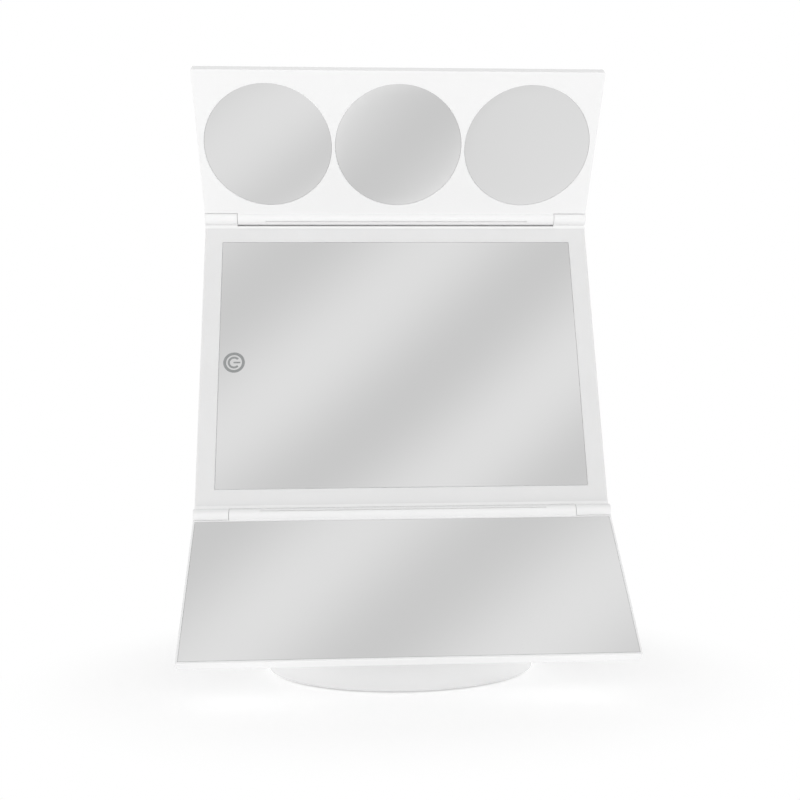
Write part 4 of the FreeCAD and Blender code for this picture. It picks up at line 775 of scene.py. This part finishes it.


# Where the floor changes, as distances from the base's middle. The side glow rises to the left and the
# right only.
# Under the base's rim the floor gets painted light, which lightens the base's contact shadow there.
SEAM_PAINTED_LIGHT = from_rim(-0.002, 0.004)
GLOW_RISE = from_rim(-0.020, 0.085)
SIDE_GLOW_RISE = from_rim(-0.035, 0.015)
SIDE_GLOW_END = from_rim(0.025, 0.105)
SHADOW_END = from_rim(0.025, 0.185)
MIRRORED_SHADOW_END = from_rim(0.035, 0.125)
STRIPES_END = from_rim(0.265, 0.655)


class VANITY_OT_stage(bpy.types.Operator):
    """Plain pale floor, white surround, two large soft lamps and the camera"""
    bl_idname = "vanity.stage"
    bl_label = "Stage"

    def execute(self, context):
        studio = context.scene.vanity_studio
        make_floor(context.scene)
        make_surround(context.scene)
        make_lamp(context.scene, "soft_lamp", studio.lamp, studio.lamp_spot)
        make_lamp(context.scene, "low_fill", studio.fill, studio.fill_spot)
        make_camera(context.scene)
        context.scene.view_settings.view_transform = "Standard"
        return {"FINISHED"}


def watching(tree):
    """The kinds of ray, and whether a ray is one that shows things: to the camera or in a gloss."""
    kinds = add(tree, "LightPath").outputs
    mirrored = maths(tree, "MAXIMUM", kinds["Is Glossy Ray"], kinds["Is Transmission Ray"])
    return kinds, maths(tree, "MAXIMUM", kinds["Is Camera Ray"], mirrored)


def shine(tree, strength):
    """White light of a strength, as a shader."""
    return add(tree, "Emission", {"Strength": strength}).outputs[0]


def either(tree, factor, first, second):
    """Two shaders mixed by a factor."""
    return add(tree, "MixShader", {0: factor, 1: first, 2: second}).outputs[0]


def both(tree, first, second):
    """Two shaders added up."""
    return add(tree, "AddShader", {0: first, 1: second}).outputs[0]


def make_floor(scene):
    """A square floor under the object."""
    half = scene.vanity_studio.floor_half
    data = bpy.data.meshes.new("floor")
    data.from_pydata([(-half, -half, 0), (half, -half, 0), (half, half, 0), (-half, half, 0)], [],
                     [(0, 1, 2, 3)])
    data.materials.append(floor_paper(scene.vanity_studio))
    floor = bpy.data.objects.new("floor", data)
    scene.collection.objects.link(floor)


def floor_paper(studio):
    """White paper that keeps the shadow near the base, with light painted under the base's rim that lightens
    its contact shadow, and is plain white further out.

    Mirrors see soft stripes further out. Other surfaces get its glow, and the camera looks through
    it from below.
    """
    made = bpy.data.materials.new("floor_white")
    made.use_nodes = True
    tree = made.node_tree
    tree.nodes.clear()
    kinds, seen = watching(tree)
    mirrored = kinds["Is Glossy Ray"]
    place = place_of(tree)
    away = add(tree, "VectorMath", {0: place}, operation="LENGTH").outputs["Value"]
    axes = add(tree, "SeparateXYZ", {0: place}).outputs
    white = [studio.floor_white] * 3
    fibre_scale, fibre_shade = 30.0, 0.99
    fibres = noise(tree, place, fibre_scale, detail=4.0)
    paper = mixed(tree, fibres, shaded(white), shaded(white, fibre_shade))
    matt = add(tree, "BsdfDiffuse", {"Color": paper}).outputs[0]

    # The floor's lift where it is seen, raised under the base's rim: painted light that lightens the contact
    # shadow there.
    lift = remap(tree, away, *SEAM_PAINTED_LIGHT, studio.seam_painted_light, studio.floor_lift)
    near = both(tree, matt, shine(tree, lift))
    far = either(tree, mirrored, shine(tree, 1.0), shine(tree, striped_level(tree, axes, away)))
    fade = between(tree, mirrored, remap(tree, away, *SHADOW_END, 0.0, 1.0),
                   remap(tree, away, *MIRRORED_SHADOW_END, 0.0, 1.0))
    shown = either(tree, fade, near, far)

    round_about = remap(tree, away, *GLOW_RISE, 0.0, studio.floor_glow)
    sideways = maths(tree, "ABSOLUTE", axes["X"])
    beside = maths(tree, "MULTIPLY", remap(tree, sideways, *SIDE_GLOW_RISE, 0.0, studio.side_glow),
                   remap(tree, away, *SIDE_GLOW_END, 1.0, 0.0))
    lighting = both(tree, matt, shine(tree, maths(tree, "ADD", round_about, beside)))

    from_above = either(tree, seen, lighting, shown)
    below = maths(tree, "MULTIPLY", add(tree, "NewGeometry").outputs["Backfacing"], kinds["Is Camera Ray"])
    clear = add(tree, "BsdfTransparent").outputs[0]
    add(tree, "OutputMaterial", {"Surface": either(tree, below, from_above, clear)})
    return made


def striped_level(tree, axes, away):
    """How bright mirrors see the floor: stripes of two widths that fade with the distance."""
    broad = use(tree, "Studio Bands", First=axes["X"], Second=axes["Y"], **BROAD_STRIPES)["Level"]
    narrow = use(tree, "Studio Bands", First=axes["X"], Second=axes["Y"], **NARROW_STRIPES)["Level"]
    stripes = weighted(tree, -(BROAD_DEPTH + NARROW_DEPTH) / 2, (narrow, NARROW_DEPTH),
                       (broad, BROAD_DEPTH))
    fading = remap(tree, away, *STRIPES_END, 1.0, 0.0)
    return maths(tree, "MULTIPLY_ADD", stripes, fading, STRIPED_FLOOR_MEAN)


def make_surround(scene):
    """World: light from all sides, white where it is seen, soft stripes where mirrors see it."""
    studio = scene.vanity_studio
    world = bpy.data.worlds.new("surround")
    scene.world = world
    world.use_nodes = True
    tree = world.node_tree
    tree.nodes.clear()
    kinds, seen = watching(tree)
    way = add(tree, "SeparateXYZ", {0: add(tree, "TexCoord").outputs["Generated"]}).outputs

    front = use(tree, "Studio Bands", First=way["X"], Second=way["Z"], **FRONT_STRIPES)["Level"]
    above = use(tree, "Studio Bands", First=way["X"], Second=way["Y"], **OVERHEAD_STRIPES)["Level"]
    overhead = remap(tree, way["Z"], OVERHEAD_STRIPES_FROM, OVERHEAD_STRIPES_FULL, 0.0, 1.0)
    bands = between(tree, overhead, front, above)
    striped = backdrop(tree, remap(tree, bands, 0.0, 1.0, studio.gap_level, 1.0, smooth=False))
    shown = either(tree, kinds["Is Glossy Ray"], backdrop(tree, 1.0), striped)

    sideways = maths(tree, "ABSOLUTE", way["X"])
    aside = remap(tree, sideways, ASIDE_FROM, ASIDE_FULL, 0.0, studio.aside)
    height = remap(tree, way["Z"], ZENITH_FROM, ZENITH_FULL, studio.surround, studio.zenith)
    lighting = backdrop(tree, maths(tree, "ADD", height, aside))
    add(tree, "OutputWorld", {"Surface": either(tree, seen, lighting, shown)})


def backdrop(tree, strength):
    """White surround of a strength, as a shader."""
    return add(tree, "Background", {"Color": (1, 1, 1, 1), "Strength": strength}).outputs[0]


def make_lamp(scene, name, power, place):
    """A square lamp turned to the object, which mirrors don't show."""
    studio = scene.vanity_studio
    data = bpy.data.lights.new(name, "AREA")
    data.shape = "SQUARE"
    data.size = studio.lamp_size
    data.energy = power
    lamp = bpy.data.objects.new(name, data)
    lamp.location = place
    lamp.rotation_euler = (Vector(studio.aim) - lamp.location).to_track_quat("-Z", "Y").to_euler()
    lamp.visible_glossy = False
    scene.collection.objects.link(lamp)


def make_camera(scene):
    """The camera in front of the object, a little to its left."""
    studio = scene.vanity_studio
    data = bpy.data.cameras.new("camera")
    data.sensor_width = 36.0
    data.lens = studio.lens
    data.clip_start = 0.01
    data.clip_end = 50.0
    camera = bpy.data.objects.new("camera", data)
    camera.location = studio.eye
    camera.rotation_euler = studio.turn
    scene.collection.objects.link(camera)
    scene.camera = camera


# ---- panel and registration ---------------------------------------------------------------------

SETTINGS = {"vanity_colours": VanityColours, "vanity_sizes": VanitySizes, "vanity_studio": VanityStudio}
OPERATORS = (VANITY_OT_shared_effects, VANITY_OT_case, VANITY_OT_underside, VANITY_OT_stem, VANITY_OT_glass,
             VANITY_OT_fasteners, VANITY_OT_supply, VANITY_OT_touch_mark, VANITY_OT_stage)


class VANITY_PT_panel(bpy.types.Panel):
    """Lists the settings and the steps"""
    bl_label = "Vanity Mirror"
    bl_idname = "VANITY_PT_panel"
    bl_space_type = "VIEW_3D"
    bl_region_type = "UI"
    bl_category = "Vanity Mirror"

    def draw(self, context):
        column = self.layout.column()
        for group in SETTINGS:
            settings = getattr(context.scene, group)
            for name in settings.bl_rna.properties.keys():
                if name not in ("rna_type", "name"):
                    column.prop(settings, name)
        for operator in OPERATORS:
            column.operator(operator.bl_idname)


def register():
    for made in (*SETTINGS.values(), *OPERATORS, VANITY_PT_panel):
        bpy.utils.register_class(made)
    for name, group in SETTINGS.items():
        setattr(bpy.types.Scene, name, bpy.props.PointerProperty(type=group))


def unregister():
    for name in SETTINGS:
        delattr(bpy.types.Scene, name)
    for made in reversed((*SETTINGS.values(), *OPERATORS, VANITY_PT_panel)):
        bpy.utils.unregister_class(made)


def main():
    register()
    bpy.ops.vanity.shared_effects()
    bpy.ops.vanity.case()
    bpy.ops.vanity.underside()
    bpy.ops.vanity.stem()
    bpy.ops.vanity.glass()
    bpy.ops.vanity.fasteners()
    bpy.ops.vanity.supply()
    bpy.ops.vanity.touch_mark()
    bpy.ops.vanity.stage()


if __name__ == "__main__":
    main()
